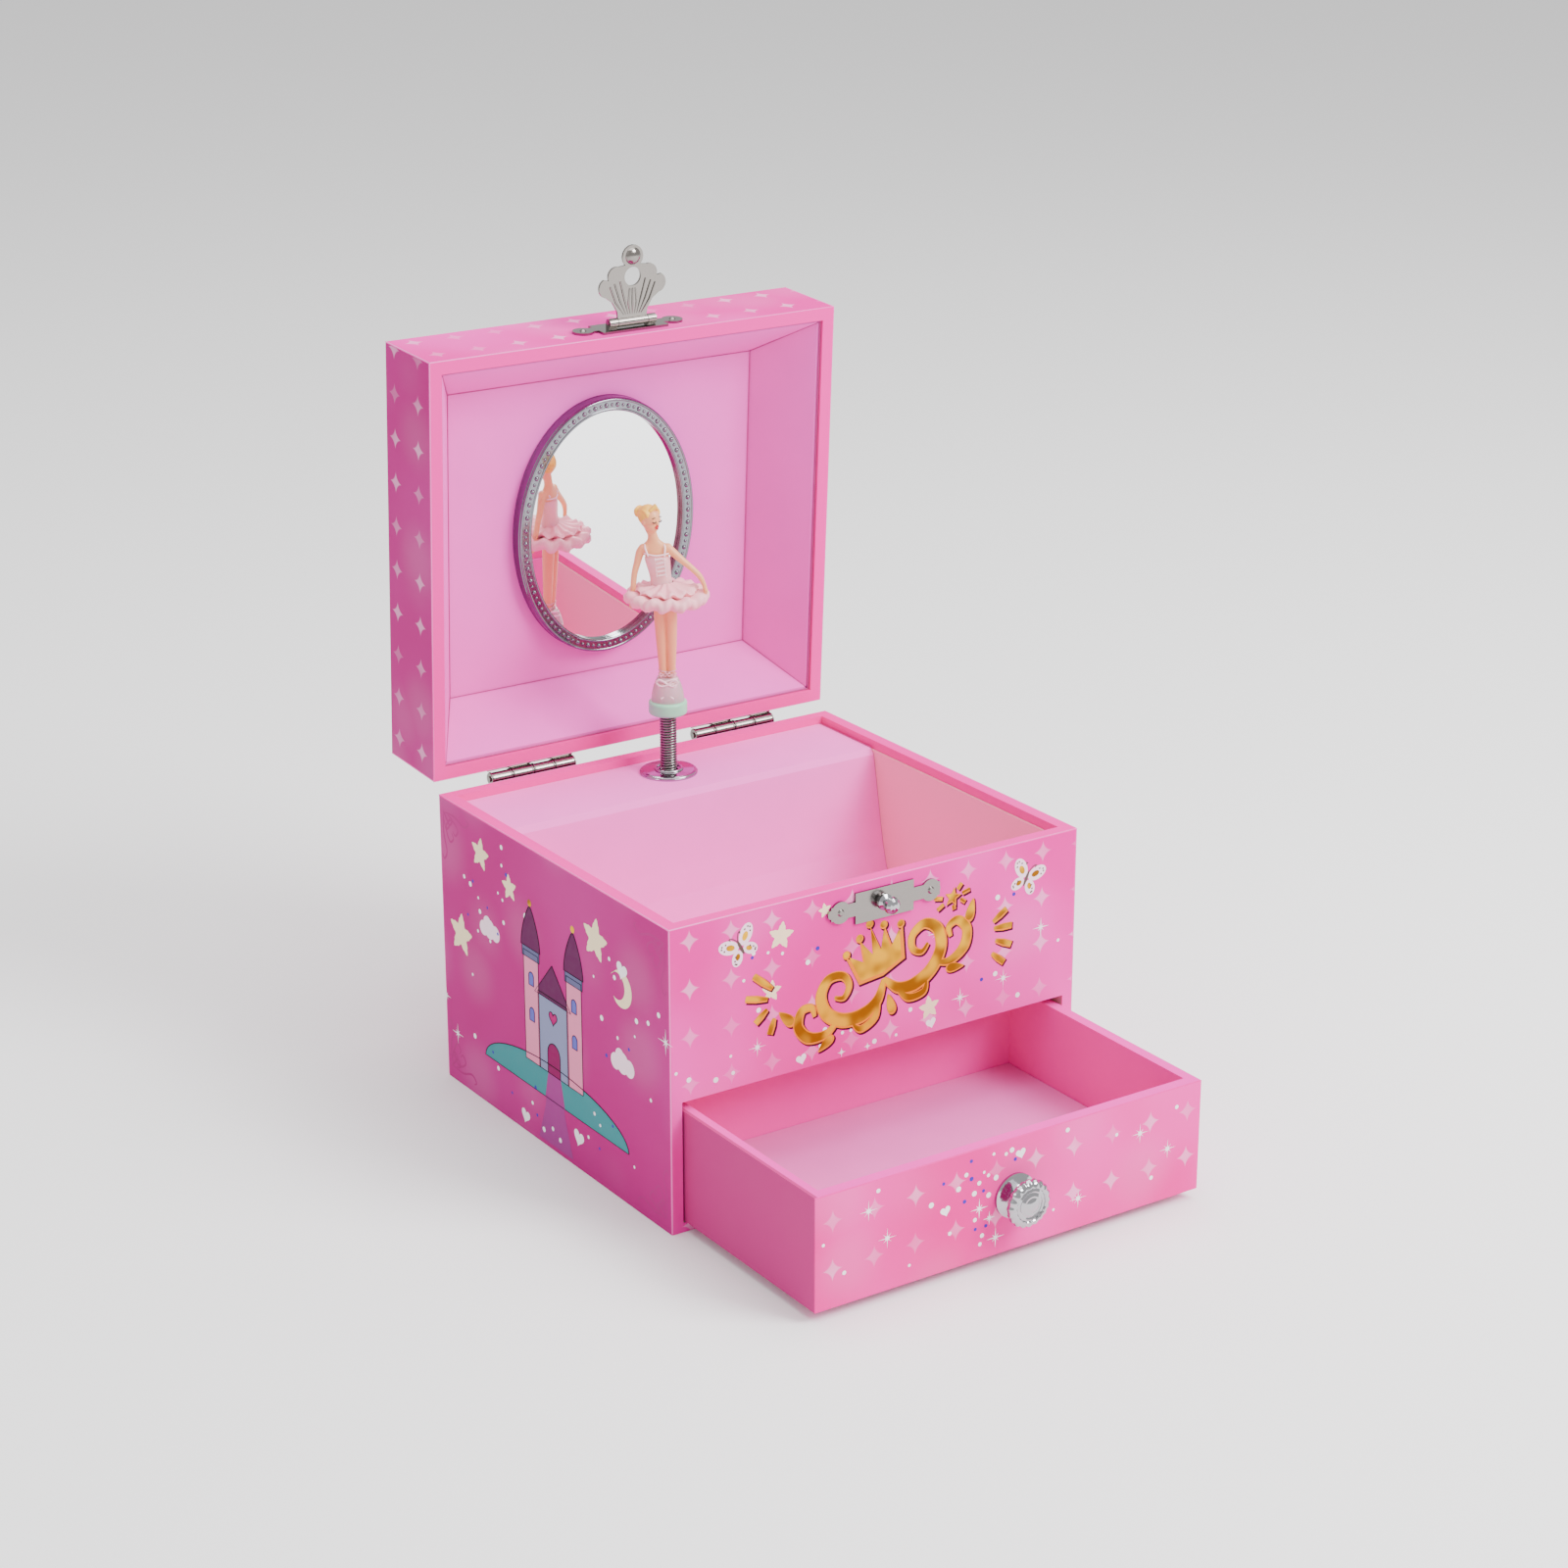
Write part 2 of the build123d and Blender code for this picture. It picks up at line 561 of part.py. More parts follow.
with BuildPart() as shoe_base:
    loft([
        ring_at(0.0, disc_z1 - shelf_top, 5.4, 5.0),
        ring_at(0.0, 28.6, 4.9, 4.6),
        ring_at(0.0, legs_z - shelf_top, 3.3, 2.6),
    ])
with BuildPart() as ballerina:
    for start, end in ((-1.35, -2.6), (1.35, 1.4)):
        loft([
            ring_at(start, legs_z - shelf_top, 1.35, 1.5),
            ring_at((start + end) / 2, 45.0, 1.75, 1.9),
            ring_at(end, 58.0, 2.1, 2.3),
        ])
    loft([
        ring_at(-0.6, 56.5, 4.0, 3.6),
        ring_at(-1.2, 62.0, 3.9, 3.2),
        ring_at(-1.7, 66.0, 3.4, 2.6),
        ring_at(-2.9, 72.0, 4.3, 3.2),
        ring_at(-3.6, 76.6, 5.0, 2.6),
        ring_at(-4.1, 78.6, 2.2, 2.0),
    ])
    loft([ring_at(-4.1, 77.0, 1.8, 1.8), ring_at(-4.6, 83.0, 1.8, 1.8)])
    with Locations(spot(-lean, 85.6, 0.6)):
        Sphere(4.3)
    with Locations(spot(-lean - 0.4, 87.4, 0.0)):
        Sphere(3.7)
    with Locations(spot(-lean - 4.2, 87.6, -0.6)):
        Sphere(2.2)
    for path in (
        [(-7.6, 76.0), (-10.2, 70.0), (-10.8, 64.0), (-11.0, 58.0)],
        [(0.6, 76.4), (5.6, 71.6), (9.6, 67.0), (12.2, 62.4)],
    ):
        points = [spot(a, h, 0.6) for a, h in path]
        with BuildLine() as arm_line:
            Spline(*points)
        with BuildSketch(Plane(origin=arm_line.line @ 0, z_dir=arm_line.line % 0)):
            Circle(1.15)
        sweep(path=arm_line.line)
        with Locations(points[0]):
            Sphere(1.4)
        with Locations(points[-1]):
            Sphere(1.3)
        with Locations(Location(spot((path[0][0] - 3.6) / 2, 76.0, 0.4))):
            Sphere(2.0)
with BuildPart() as tutu:
    with BuildSketch(Plane.XZ.offset(-figure_y)):
        with BuildLine():
            Polyline(
                (figure_x + 3.0, shelf_top + 57.2), (figure_x + 8.5, shelf_top + 56.4),
                (figure_x + 12.4, shelf_top + 57.6), (figure_x + 14.0, shelf_top + 61.0),
                (figure_x + 13.2, shelf_top + 63.6), (figure_x + 11.2, shelf_top + 62.2),
                (figure_x + 7.0, shelf_top + 61.8), (figure_x + 3.0, shelf_top + 63.4), close=True,
            )
        make_face()
    revolve(axis=Axis((figure_x, figure_y, 0), (0, 0, 1)))

# ---------------------------------------------------------------- lid, built closed
top_z0 = lid_z1 - skin - board
low_z = lid_z0 + skin
with BuildPart() as lid_top_panel:
    slab(-half_x + skin, half_x - skin, -half_y + skin, half_y - skin, top_z0, lid_z1 - skin)
with BuildPart() as lid_side_walls:
    slab(-half_x + skin, -in_x, -half_y + skin, half_y - skin, low_z, top_z0)
    slab(in_x, half_x - skin, -half_y + skin, half_y - skin, low_z, top_z0)
with BuildPart() as lid_front_wall:
    slab(-in_x, in_x, -half_y + skin, -in_y, low_z, top_z0)
    for x in hasp_nails:
        drill_y(x, hasp_nail_z, nail_r + nail_play, -half_y, -half_y + 3.2)
with BuildPart() as lid_rear_wall:
    slab(-in_x, in_x, in_y, half_y - skin, low_z, top_z0)
    for middle in (-hinge_x, hinge_x):
        for offset in hinge_nails:
            drill_y(middle + offset, lid_leaf_z, nail_r + nail_play, half_y - 3.2, half_y)
lid_turn_in = 1.2
with BuildPart() as lid_wrap:
    slab(-half_x, half_x, -half_y, half_y, lid_z0, lid_z1)
    fillet(lid_wrap.edges().filter_by(Axis.Z), corner_round)
    fillet(lid_wrap.faces().sort_by(Axis.Z)[-1].edges(), corner_round)
    slab(-half_x + skin, half_x - skin, -half_y + skin, half_y - skin, low_z, lid_z1 - skin, Mode.SUBTRACT)
    slab(-in_x, in_x, -in_y, in_y, lid_z0, low_z + lid_turn_in)
    slab(-fold_x, fold_x, -fold_y, fold_y, lid_z0, low_z + lid_turn_in, Mode.SUBTRACT)
    for x in hasp_nails:
        drill_y(x, hasp_nail_z, nail_r + nail_play, -half_y - 1, -half_y + 1)
    for middle in (-hinge_x, hinge_x):
        for offset in hinge_nails:
            drill_y(middle + offset, lid_leaf_z, nail_r + nail_play, half_y - 1, half_y + 1)

# sloped lining from the rim to the inner panel: four boards, open at the mitres
slope_z = low_z + lid_turn_in + 0.1


def well(grow, z0, z1):
    with BuildSketch(Plane.XY.offset(z0)) as rim:
        Rectangle(2 * (in_x - 0.4) + grow, 2 * (in_y - 0.4) + grow)
    with BuildSketch(Plane.XY.offset(z1)) as floor:
        Rectangle(2 * panel_x + grow, 2 * panel_y + grow)
    return [rim.sketch.face(), floor.sketch.face()]


with BuildPart() as lid_lining:
    loft(well(0.0, slope_z, panel_z))
    loft(well(-2 * lining, slope_z, panel_z), mode=Mode.SUBTRACT)
    rim_corner = math.degrees(math.atan2(in_y - 0.4 - panel_y, in_x - 0.4 - panel_x))
    for sx in (-1, 1):
        for sy in (-1, 1):
            middle_x = sx * (panel_x + in_x - 0.4) / 2
            middle_y = sy * (panel_y + in_y - 0.4) / 2
            middle_z = (slope_z + panel_z) / 2
            with Locations(Location((middle_x, middle_y, middle_z), (0, 0, sx * sy * rim_corner))):
                Box(40, 0.3, 40, mode=Mode.SUBTRACT)
with BuildPart() as lid_lining_panel:
    slab(-panel_x, panel_x, -panel_y, panel_y, panel_z, panel_z + 1.2)
with BuildPart() as mirror_frame:
    with BuildSketch(Plane.XY.offset(mirror_z)):
        Ellipse(frame_a, frame_b)
    extrude(amount=panel_z - mirror_z)
    chamfer(mirror_frame.faces().sort_by(Axis.Z)[0].edges(), 0.8)
    with BuildSketch(Plane.XY.offset(mirror_z)):
        Ellipse(glass_a, glass_b)
    extrude(amount=panel_z - mirror_z, mode=Mode.SUBTRACT)
    with BuildSketch(Plane.XY.offset(mirror_z + 1.6)):
        Ellipse(glass_a + 1.6, glass_b + 1.6)
    extrude(amount=panel_z - mirror_z, mode=Mode.SUBTRACT)
with BuildPart() as mirror_glass:
    with BuildSketch(Plane.XY.offset(mirror_z + 1.7)):
        Ellipse(glass_a + 1.5, glass_b + 1.5)
    extrude(amount=2.0)

with BuildPart() as hasp_plate:
    with BuildSketch(Plane.XZ.offset(half_y)):
        with Locations((lock_x, hasp_nail_z - 0.4)):
            Rectangle(24.0, 9.6)
        with Locations((lock_x - 14.0, hasp_nail_z), (lock_x + 14.0, hasp_nail_z)):
            Rectangle(8.0, 4.2)
        with Locations((hasp_nails[0], hasp_nail_z), (hasp_nails[1], hasp_nail_z)):
            Circle(3.4)
            Circle(nail_r + nail_play, mode=Mode.SUBTRACT)
    extrude(amount=leaf_thick)
    for x0 in (lock_x - 8.6, lock_x + 5.6):
        slab(x0, x0 + 3.0, hasp_pin_y, -half_y, hasp_pin_z - 0.5, hasp_pin_z + 1.5)
        rod_x(hasp_pin_y, hasp_pin_z, 1.5, x0, x0 + 3.0)
        rod_x(hasp_pin_y, hasp_pin_z, 0.65 + nail_play, x0 - 1, x0 + 4, Mode.SUBTRACT)
with BuildPart() as hasp_pin:
    rod_x(hasp_pin_y, hasp_pin_z, 0.65, lock_x - 8.8, lock_x + 8.8)
with BuildPart() as lid_nails:
    for x in hasp_nails:
        nail(x, hasp_nail_z, -half_y - leaf_thick, -1)
    for middle in (-hinge_x, hinge_x):
        for offset in hinge_nails:
            nail(middle + offset, lid_leaf_z, half_y + leaf_thick, 1)

# hasp leaf standing square to the lid front: a scalloped shell with a domed lift at the tip
with BuildPart() as hasp_leaf:
    with BuildSketch(Plane.XY.offset(hasp_pin_z - 0.4)):
        with Locations((lock_x, hasp_pin_y)):
            Polygon(
                (-5.2, -1.0), (5.2, -1.0), (6.2, -5.0), (10.4, -9.6), (-10.4, -9.6), (-6.2, -5.0),
                align=None,
            )
            with Locations((-9.0, -11.4), (9.0, -11.4)):
                Circle(3.25)
            with Locations((-5.6, -14.8), (5.6, -14.8)):
                Circle(3.3)
            with Locations((0, -12.6)):
                Rectangle(18.0, 8.4)
            with Locations((0, -17.5)):
                Rectangle(7.4, 6.4)
            with Locations((0, -20.7)):
                Circle(3.8)
            with Locations((0, -hasp_reach)):
                Circle(hasp_hole_r, mode=Mode.SUBTRACT)
    extrude(amount=leaf_thick)
    rod_x(hasp_pin_y, hasp_pin_z, 1.5, lock_x - 5.4, lock_x + 5.4)
    rod_x(hasp_pin_y, hasp_pin_z, 0.65 + nail_play, lock_x - 7, lock_x + 7, Mode.SUBTRACT)

# ---------------------------------------------------------------- drawer, built closed
half_dx = drawer_width / 2
dz0 = drawer_lift
dz1 = drawer_lift + drawer_height
front_y = -half_y
back_y = front_y + drawer_length
inside_x = half_dx - drawer_board
inside_y0 = front_y + skin + drawer_board
with BuildPart() as drawer_front:
    slab(-half_dx, half_dx, front_y + skin, inside_y0, dz0, dz1)
    drill_y(0, knob_z, 1.55, front_y - 1, inside_y0 + 1)
with BuildPart() as drawer_front_wrap:
    slab(-half_dx, half_dx, front_y, front_y + skin, dz0, dz1)
    drill_y(0, knob_z, 1.55, front_y - 1, inside_y0 + 1)
with BuildPart() as drawer_sides:
    slab(-half_dx, -inside_x, inside_y0, back_y, dz0, dz1)
    slab(inside_x, half_dx, inside_y0, back_y, dz0, dz1)
with BuildPart() as drawer_back:
    slab(-inside_x, inside_x, back_y - drawer_board, back_y, dz0, dz1)
with BuildPart() as drawer_bottom:
    slab(-inside_x, inside_x, inside_y0, back_y - drawer_board, dz0, dz0 + 2.4)
with BuildPart() as drawer_floor:
    slab(
        -inside_x + 0.2, inside_x - 0.2, inside_y0 + 0.2, back_y - drawer_board - 0.2,
        dz0 + 2.4, dz0 + drawer_floor_rise,
    )
with BuildPart() as drawer_knob:
    with BuildSketch(Plane.XY):
        with BuildLine():
            Polyline(
                (1.55, front_y), (7.0, front_y), (7.0, front_y - 0.9), (4.6, front_y - 1.8),
                (3.2, front_y - 3.0), (3.0, front_y - 4.6), (5.2, front_y - 5.8), (7.65, front_y - 6.6),
                (7.65, front_y - 7.7), (6.6, front_y - 8.6), (3.0, front_y - 9.2), (0, front_y - 9.4),
                (0, front_y - 6.2), (1.55, front_y - 6.2), close=True,
            )
        make_face()
    revolve(axis=Axis((0, 0, 0), (0, 1, 0)))
with BuildPart() as knob_screw:
    rod_y(0, knob_z, 1.5, front_y - 5.6, inside_y0)
    rod_y(0, knob_z, 3.0, inside_y0, inside_y0 + 1.6)

# ---------------------------------------------------------------- export
for block, name in (
    (case_left_side, "case_left_side"), (case_right_side, "case_right_side"),
    (case_rear_wall, "case_rear_wall"), (case_front_panel, "case_front_panel"),
    (case_bottom_panel, "case_bottom_panel"), (drawer_deck, "drawer_deck"),
    (bay_back_panel, "bay_back_panel"), (case_wrap, "case_wrap"), (tray_lining, "tray_lining"),
    (tray_floor_lining, "tray_floor_lining"), (shelf_panel, "shelf_panel"),
    (spring_grommet, "spring_grommet"), (lock_plate, "lock_plate"), (case_nails, "case_nails"),
    (hinge_case_leaves, "hinge_case_leaves"), (hinge_pins, "hinge_pins"),
    (movement_base, "movement_base"), (movement_screws, "movement_screws"),
    (spring_housing, "spring_housing"), (mainspring, "mainspring"), (comb, "comb"),
    (governor_bracket, "governor_bracket"),
    (winding_arbor, "winding_arbor"), (winding_key, "winding_key"), (great_wheel, "great_wheel"),
    (cylinder_arbor, "cylinder_arbor"), (lantern_pinion, "lantern_pinion"),
    (music_cylinder, "music_cylinder"), (drive_gear, "drive_gear"),
    (governor_wheel, "governor_wheel"), (air_brake, "air_brake"), (figure_spring, "figure_spring"),
    (stand_disc, "stand_disc"), (shoe_base, "shoe_base"), (ballerina, "ballerina"), (tutu, "tutu"),
):
    save(block, name)
save(lock_stud, "lock_stud", lock_stud_place)
save(governor_worm, "governor_worm", worm_place)
for block, name in (
    (lid_top_panel, "lid_top_panel"), (lid_side_walls, "lid_side_walls"),
    (lid_front_wall, "lid_front_wall"),
    (lid_rear_wall, "lid_rear_wall"), (lid_wrap, "lid_wrap"), (lid_lining, "lid_lining"),
    (lid_lining_panel, "lid_lining_panel"), (mirror_frame, "mirror_frame"),
    (mirror_glass, "mirror_glass"), (hinge_lid_leaves, "hinge_lid_leaves"),
    (hasp_plate, "hasp_plate"), (hasp_pin, "hasp_pin"), (lid_nails, "lid_nails"),
    (hasp_leaf, "hasp_leaf"),
):
    save(block, name, swing)
for block, name in (
    (drawer_front, "drawer_front"), (drawer_front_wrap, "drawer_front_wrap"),
    (drawer_sides, "drawer_sides"), (drawer_back, "drawer_back"), (drawer_bottom, "drawer_bottom"),
    (drawer_floor, "drawer_floor"),
):
    save(block, name, pull)
save(drawer_knob, "drawer_knob", pull * Pos(0, 0, knob_z))
save(knob_screw, "knob_screw", pull)
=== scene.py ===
import math
import random

import bpy
from mathutils import Matrix, Vector


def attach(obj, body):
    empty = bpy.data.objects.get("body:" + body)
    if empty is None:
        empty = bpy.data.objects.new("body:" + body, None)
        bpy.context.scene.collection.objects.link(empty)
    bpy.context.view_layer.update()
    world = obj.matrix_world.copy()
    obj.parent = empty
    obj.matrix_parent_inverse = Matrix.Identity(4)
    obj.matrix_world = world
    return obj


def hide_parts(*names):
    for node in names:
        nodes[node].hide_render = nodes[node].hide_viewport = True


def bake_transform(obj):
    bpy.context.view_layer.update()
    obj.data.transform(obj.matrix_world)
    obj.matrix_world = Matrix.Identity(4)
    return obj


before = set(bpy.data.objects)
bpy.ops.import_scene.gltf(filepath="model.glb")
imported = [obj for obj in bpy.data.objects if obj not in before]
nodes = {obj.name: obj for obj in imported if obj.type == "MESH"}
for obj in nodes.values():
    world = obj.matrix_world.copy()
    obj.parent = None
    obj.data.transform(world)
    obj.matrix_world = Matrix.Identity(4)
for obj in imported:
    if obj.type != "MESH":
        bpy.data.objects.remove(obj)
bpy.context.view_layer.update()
mm = 0.001

# the lid's hinge line and how far it stands open in the stored pose
hinge = {"y": 72.0, "z": 98.15, "open": 87.0}
figure = {"x": 1.0, "y": 52.0, "shelf": 95.5, "face": -34.0}
# how far the drawer stands out in the stored pose, and half the case's width and depth
pulled = 68.1
halfWidth, halfDepth = 75.0, 69.0


def swung(x, y, z):
    # a point given on the closed lid, moved to the stored open lid, in metres
    a = math.radians(-hinge["open"])
    dy, dz = y - hinge["y"], z - hinge["z"]
    return Vector((
        x * mm,
        (hinge["y"] + math.cos(a) * dy - math.sin(a) * dz) * mm,
        (hinge["z"] + math.sin(a) * dy + math.cos(a) * dz) * mm,
    ))


def across(side, height, forward=0.0):
    # a point on the dancer: sideways, above the shelf, towards the front
    c, s = math.cos(math.radians(figure["face"])), math.sin(math.radians(figure["face"]))
    return Vector((
        (figure["x"] + side * c + forward * s) * mm,
        (figure["y"] + side * s - forward * c) * mm,
        (figure["shelf"] + height) * mm,
    ))


# ---- materials ----
# where the outer skin of the sides and of the lid's top begins, and the star grid's steps, in metres
skin = {"side": 0.0747, "lidTop": 0.1269}
starPitch = (0.0144, 0.0152)


def newMat(name, color, rough=0.5, metal=0.0, **more):
    mat = bpy.data.materials.new(name)
    mat.use_nodes = True
    shader = mat.node_tree.nodes["Principled BSDF"]
    shader.inputs["Base Color"].default_value = (*color, 1)
    shader.inputs["Roughness"].default_value = rough
    shader.inputs["Metallic"].default_value = metal
    for key, value in more.items():
        shader.inputs[key.replace("_", " ")].default_value = value
    return mat


class Tree:
    # small helper for wiring shader nodes
    def __init__(self, mat):
        self.tree = mat.node_tree
        self.shader = self.tree.nodes["Principled BSDF"]

    def add(self, kind, **values):
        node = self.tree.nodes.new(kind)
        for key, value in values.items():
            setattr(node, key, value)
        return node

    def link(self, a, b):
        self.tree.links.new(a, b)

    def math(self, operation, *values):
        node = self.add("ShaderNodeMath", operation=operation)
        for socket, value in zip(node.inputs, values):
            if isinstance(value, (int, float)):
                socket.default_value = value
            else:
                self.link(value, socket)
        return node.outputs[0]

    def times(self, a, b):
        return self.math("MULTIPLY", a, b)

    def above(self, a, b):
        return self.math("GREATER_THAN", a, b)

    def below(self, a, b):
        return self.math("LESS_THAN", a, b)

    def size(self, a):
        return self.math("ABSOLUTE", a)

    def axes(self, vector):
        node = self.add("ShaderNodeSeparateXYZ")
        self.link(vector, node.inputs[0])
        return node.outputs

    def mix(self, factor, a, b):
        node = self.add("ShaderNodeMix", data_type="RGBA")
        for socket, value in ((node.inputs[0], factor), (node.inputs[6], a), (node.inputs[7], b)):
            if isinstance(value, (int, float)):
                socket.default_value = value
            elif isinstance(value, tuple):
                socket.default_value = (*value, 1)
            else:
                self.link(value, socket)
        return node.outputs[2]

    def coords(self):
        return self.add("ShaderNodeTexCoord").outputs["Object"]

    def noise(self, vector, scale, detail=3.0):
        node = self.add("ShaderNodeTexNoise")
        node.inputs["Scale"].default_value = scale
        node.inputs["Detail"].default_value = detail
        self.link(vector, node.inputs["Vector"])
        return node.outputs["Fac"]

    def ramp(self, value, low, high, to0=0.0, to1=1.0):
        node = self.add("ShaderNodeMapRange", interpolation_type="SMOOTHSTEP")
        for i, number in enumerate((low, high, to0, to1)):
            node.inputs[i + 1].default_value = number
        self.link(value, node.inputs[0])
        return node.outputs[0]

    def bump(self, height, strength, distance=0.0002):
        node = self.add("ShaderNodeBump")
        node.inputs["Strength"].default_value = strength
        node.inputs["Distance"].default_value = distance
        self.link(height, node.inputs["Height"])
        self.link(node.outputs[0], self.shader.inputs["Normal"])


def wear(mat, amount, scale, bumpBy=0.05):
    # slight unevenness in colour, gloss and surface
    t = Tree(mat)
    spots = t.noise(t.coords(), scale)
    base = tuple(t.shader.inputs["Base Color"].default_value)[:3]
    darker = tuple(c * (1 - amount) for c in base)
    lighter = tuple(min(1, c * (1 + amount)) for c in base)
    t.link(t.mix(spots, darker, lighter), t.shader.inputs["Base Color"])
    rough = t.shader.inputs["Roughness"].default_value
    t.link(t.ramp(spots, 0.3, 0.7, rough * 0.85, min(1, rough * 1.15)), t.shader.inputs["Roughness"])
    if bumpBy:
        t.bump(spots, bumpBy)
    return mat


def printedPaper(name, place, base, grid, rim):
    # pink print with a grid of faint four-pointed stars and soft round glows, with painted shade on the side faces
    # place moves a point to where it is with the lid and drawer shut
    mat = newMat(name, base, 0.5, Specular_IOR_Level=0.04)
    t = Tree(mat)
    moved = t.add("ShaderNodeMapping")
    moved.inputs["Location"].default_value = place[0]
    moved.inputs["Rotation"].default_value = place[1]
    t.link(t.coords(), moved.inputs["Vector"])
    x, y, z = t.axes(moved.outputs[0])
    # on a side face the print runs along y, elsewhere along x; on the lid's top it runs x by y
    sideFace = t.above(t.size(x), skin["side"])
    leftFace = t.below(x, -skin["side"])
    topFace = t.above(z, skin["lidTop"])
    notSide = t.math("SUBTRACT", 1.0, sideFace)
    notTop = t.math("SUBTRACT", 1.0, topFace)
    u = t.math("ADD", t.times(x, notSide), t.times(y, sideFace))
    v = t.math("ADD", t.times(z, notTop), t.times(y, topFace))
    arms = []
    for along, start, pitch in ((u, grid[0], starPitch[0]), (v, grid[1], starPitch[1])):
        cell = t.math("ADD", t.math("DIVIDE", t.math("SUBTRACT", along, start), pitch), 0.5)
        offset = t.math("SUBTRACT", t.math("FRACT", cell), 0.5)
        arms.append(t.math("POWER", t.size(offset), 0.6))
    star = t.ramp(t.math("ADD", *arms), 0.38, 0.47, 1.0, 0.0)
    # each star's strength differs from its neighbours'
    spread = t.noise(moved.outputs[0], 38, 1)
    stars = t.times(star, t.ramp(spread, 0.35, 0.65, 0.18, 0.5))
    if rim is caseRim:
        # the case's left face has drawn stars in place of the grid
        stars = t.times(stars, t.math("SUBTRACT", 1.0, leftFace))
    glow = t.add("ShaderNodeTexVoronoi")
    glow.inputs["Scale"].default_value = 34
    t.link(moved.outputs[0], glow.inputs["Vector"])
    blobs = t.times(t.ramp(glow.outputs["Distance"], 0.1, 0.55, 1.0, 0.0), 0.07)
    wide = t.ramp(t.noise(moved.outputs[0], 14, 2), 0.35, 0.7)
    deep = tuple(c * s for c, s in zip(base, (0.9, 0.5, 0.86)))
    pale = tuple(min(1, c + a) for c, a in zip(base, (0.06, 0.035, 0.1)))
    color = t.mix(wide, deep, pale)
    # painted shade: the side faces are darkened, and the left face darker still
    color = t.mix(t.times(sideFace, 0.6), color, (0.37, 0.018, 0.16))
    color = t.mix(t.times(leftFace, 0.22), color, (0.16, 0.008, 0.08))
    color = t.mix(blobs, color, (1.0, 0.6, 0.85))
    color = t.mix(stars, color, (1.0, 0.55, 0.8))
    # the folded rim is plain, and so is a hair line along the outer corners
    color = t.mix(rim(t, x, y, z), color, (0.9, 0.026, 0.36))
    t.link(color, t.shader.inputs["Base Color"])
    t.bump(t.noise(moved.outputs[0], 900, 2), 0.04)
    return mat


def insideWalls(t, x, y):
    return t.times(t.below(t.size(x), 0.0712), t.below(t.size(y), 0.0652))


def withCorners(t, x, y, plain):
    corner = t.times(t.above(t.size(x), 0.0744), t.above(t.size(y), 0.0684))
    return t.math("MAXIMUM", plain, t.times(corner, 0.6))


def caseRim(t, x, y, z):
    rimTop = t.times(t.above(z, 0.09755), t.below(z, 0.0982))
    return withCorners(t, x, y, t.math("MAXIMUM", rimTop, insideWalls(t, x, y)))


def lidRim(t, x, y, z):
    inside = t.times(insideWalls(t, x, y), t.below(z, 0.11))
    return withCorners(t, x, y, t.math("MAXIMUM", t.below(z, 0.0987), inside))


def drawerRim(t, x, y, z):
    return t.above(z, 0.0391)


def faceColor(mat, test, limit, color):
    # a piece's face beyond a limit along x takes another colour
    t = Tree(mat)
    socket = t.shader.inputs["Base Color"]
    paper = socket.links[0].from_socket
    t.link(t.mix(t.math(test, t.axes(t.coords())[0], limit), paper, color), socket)


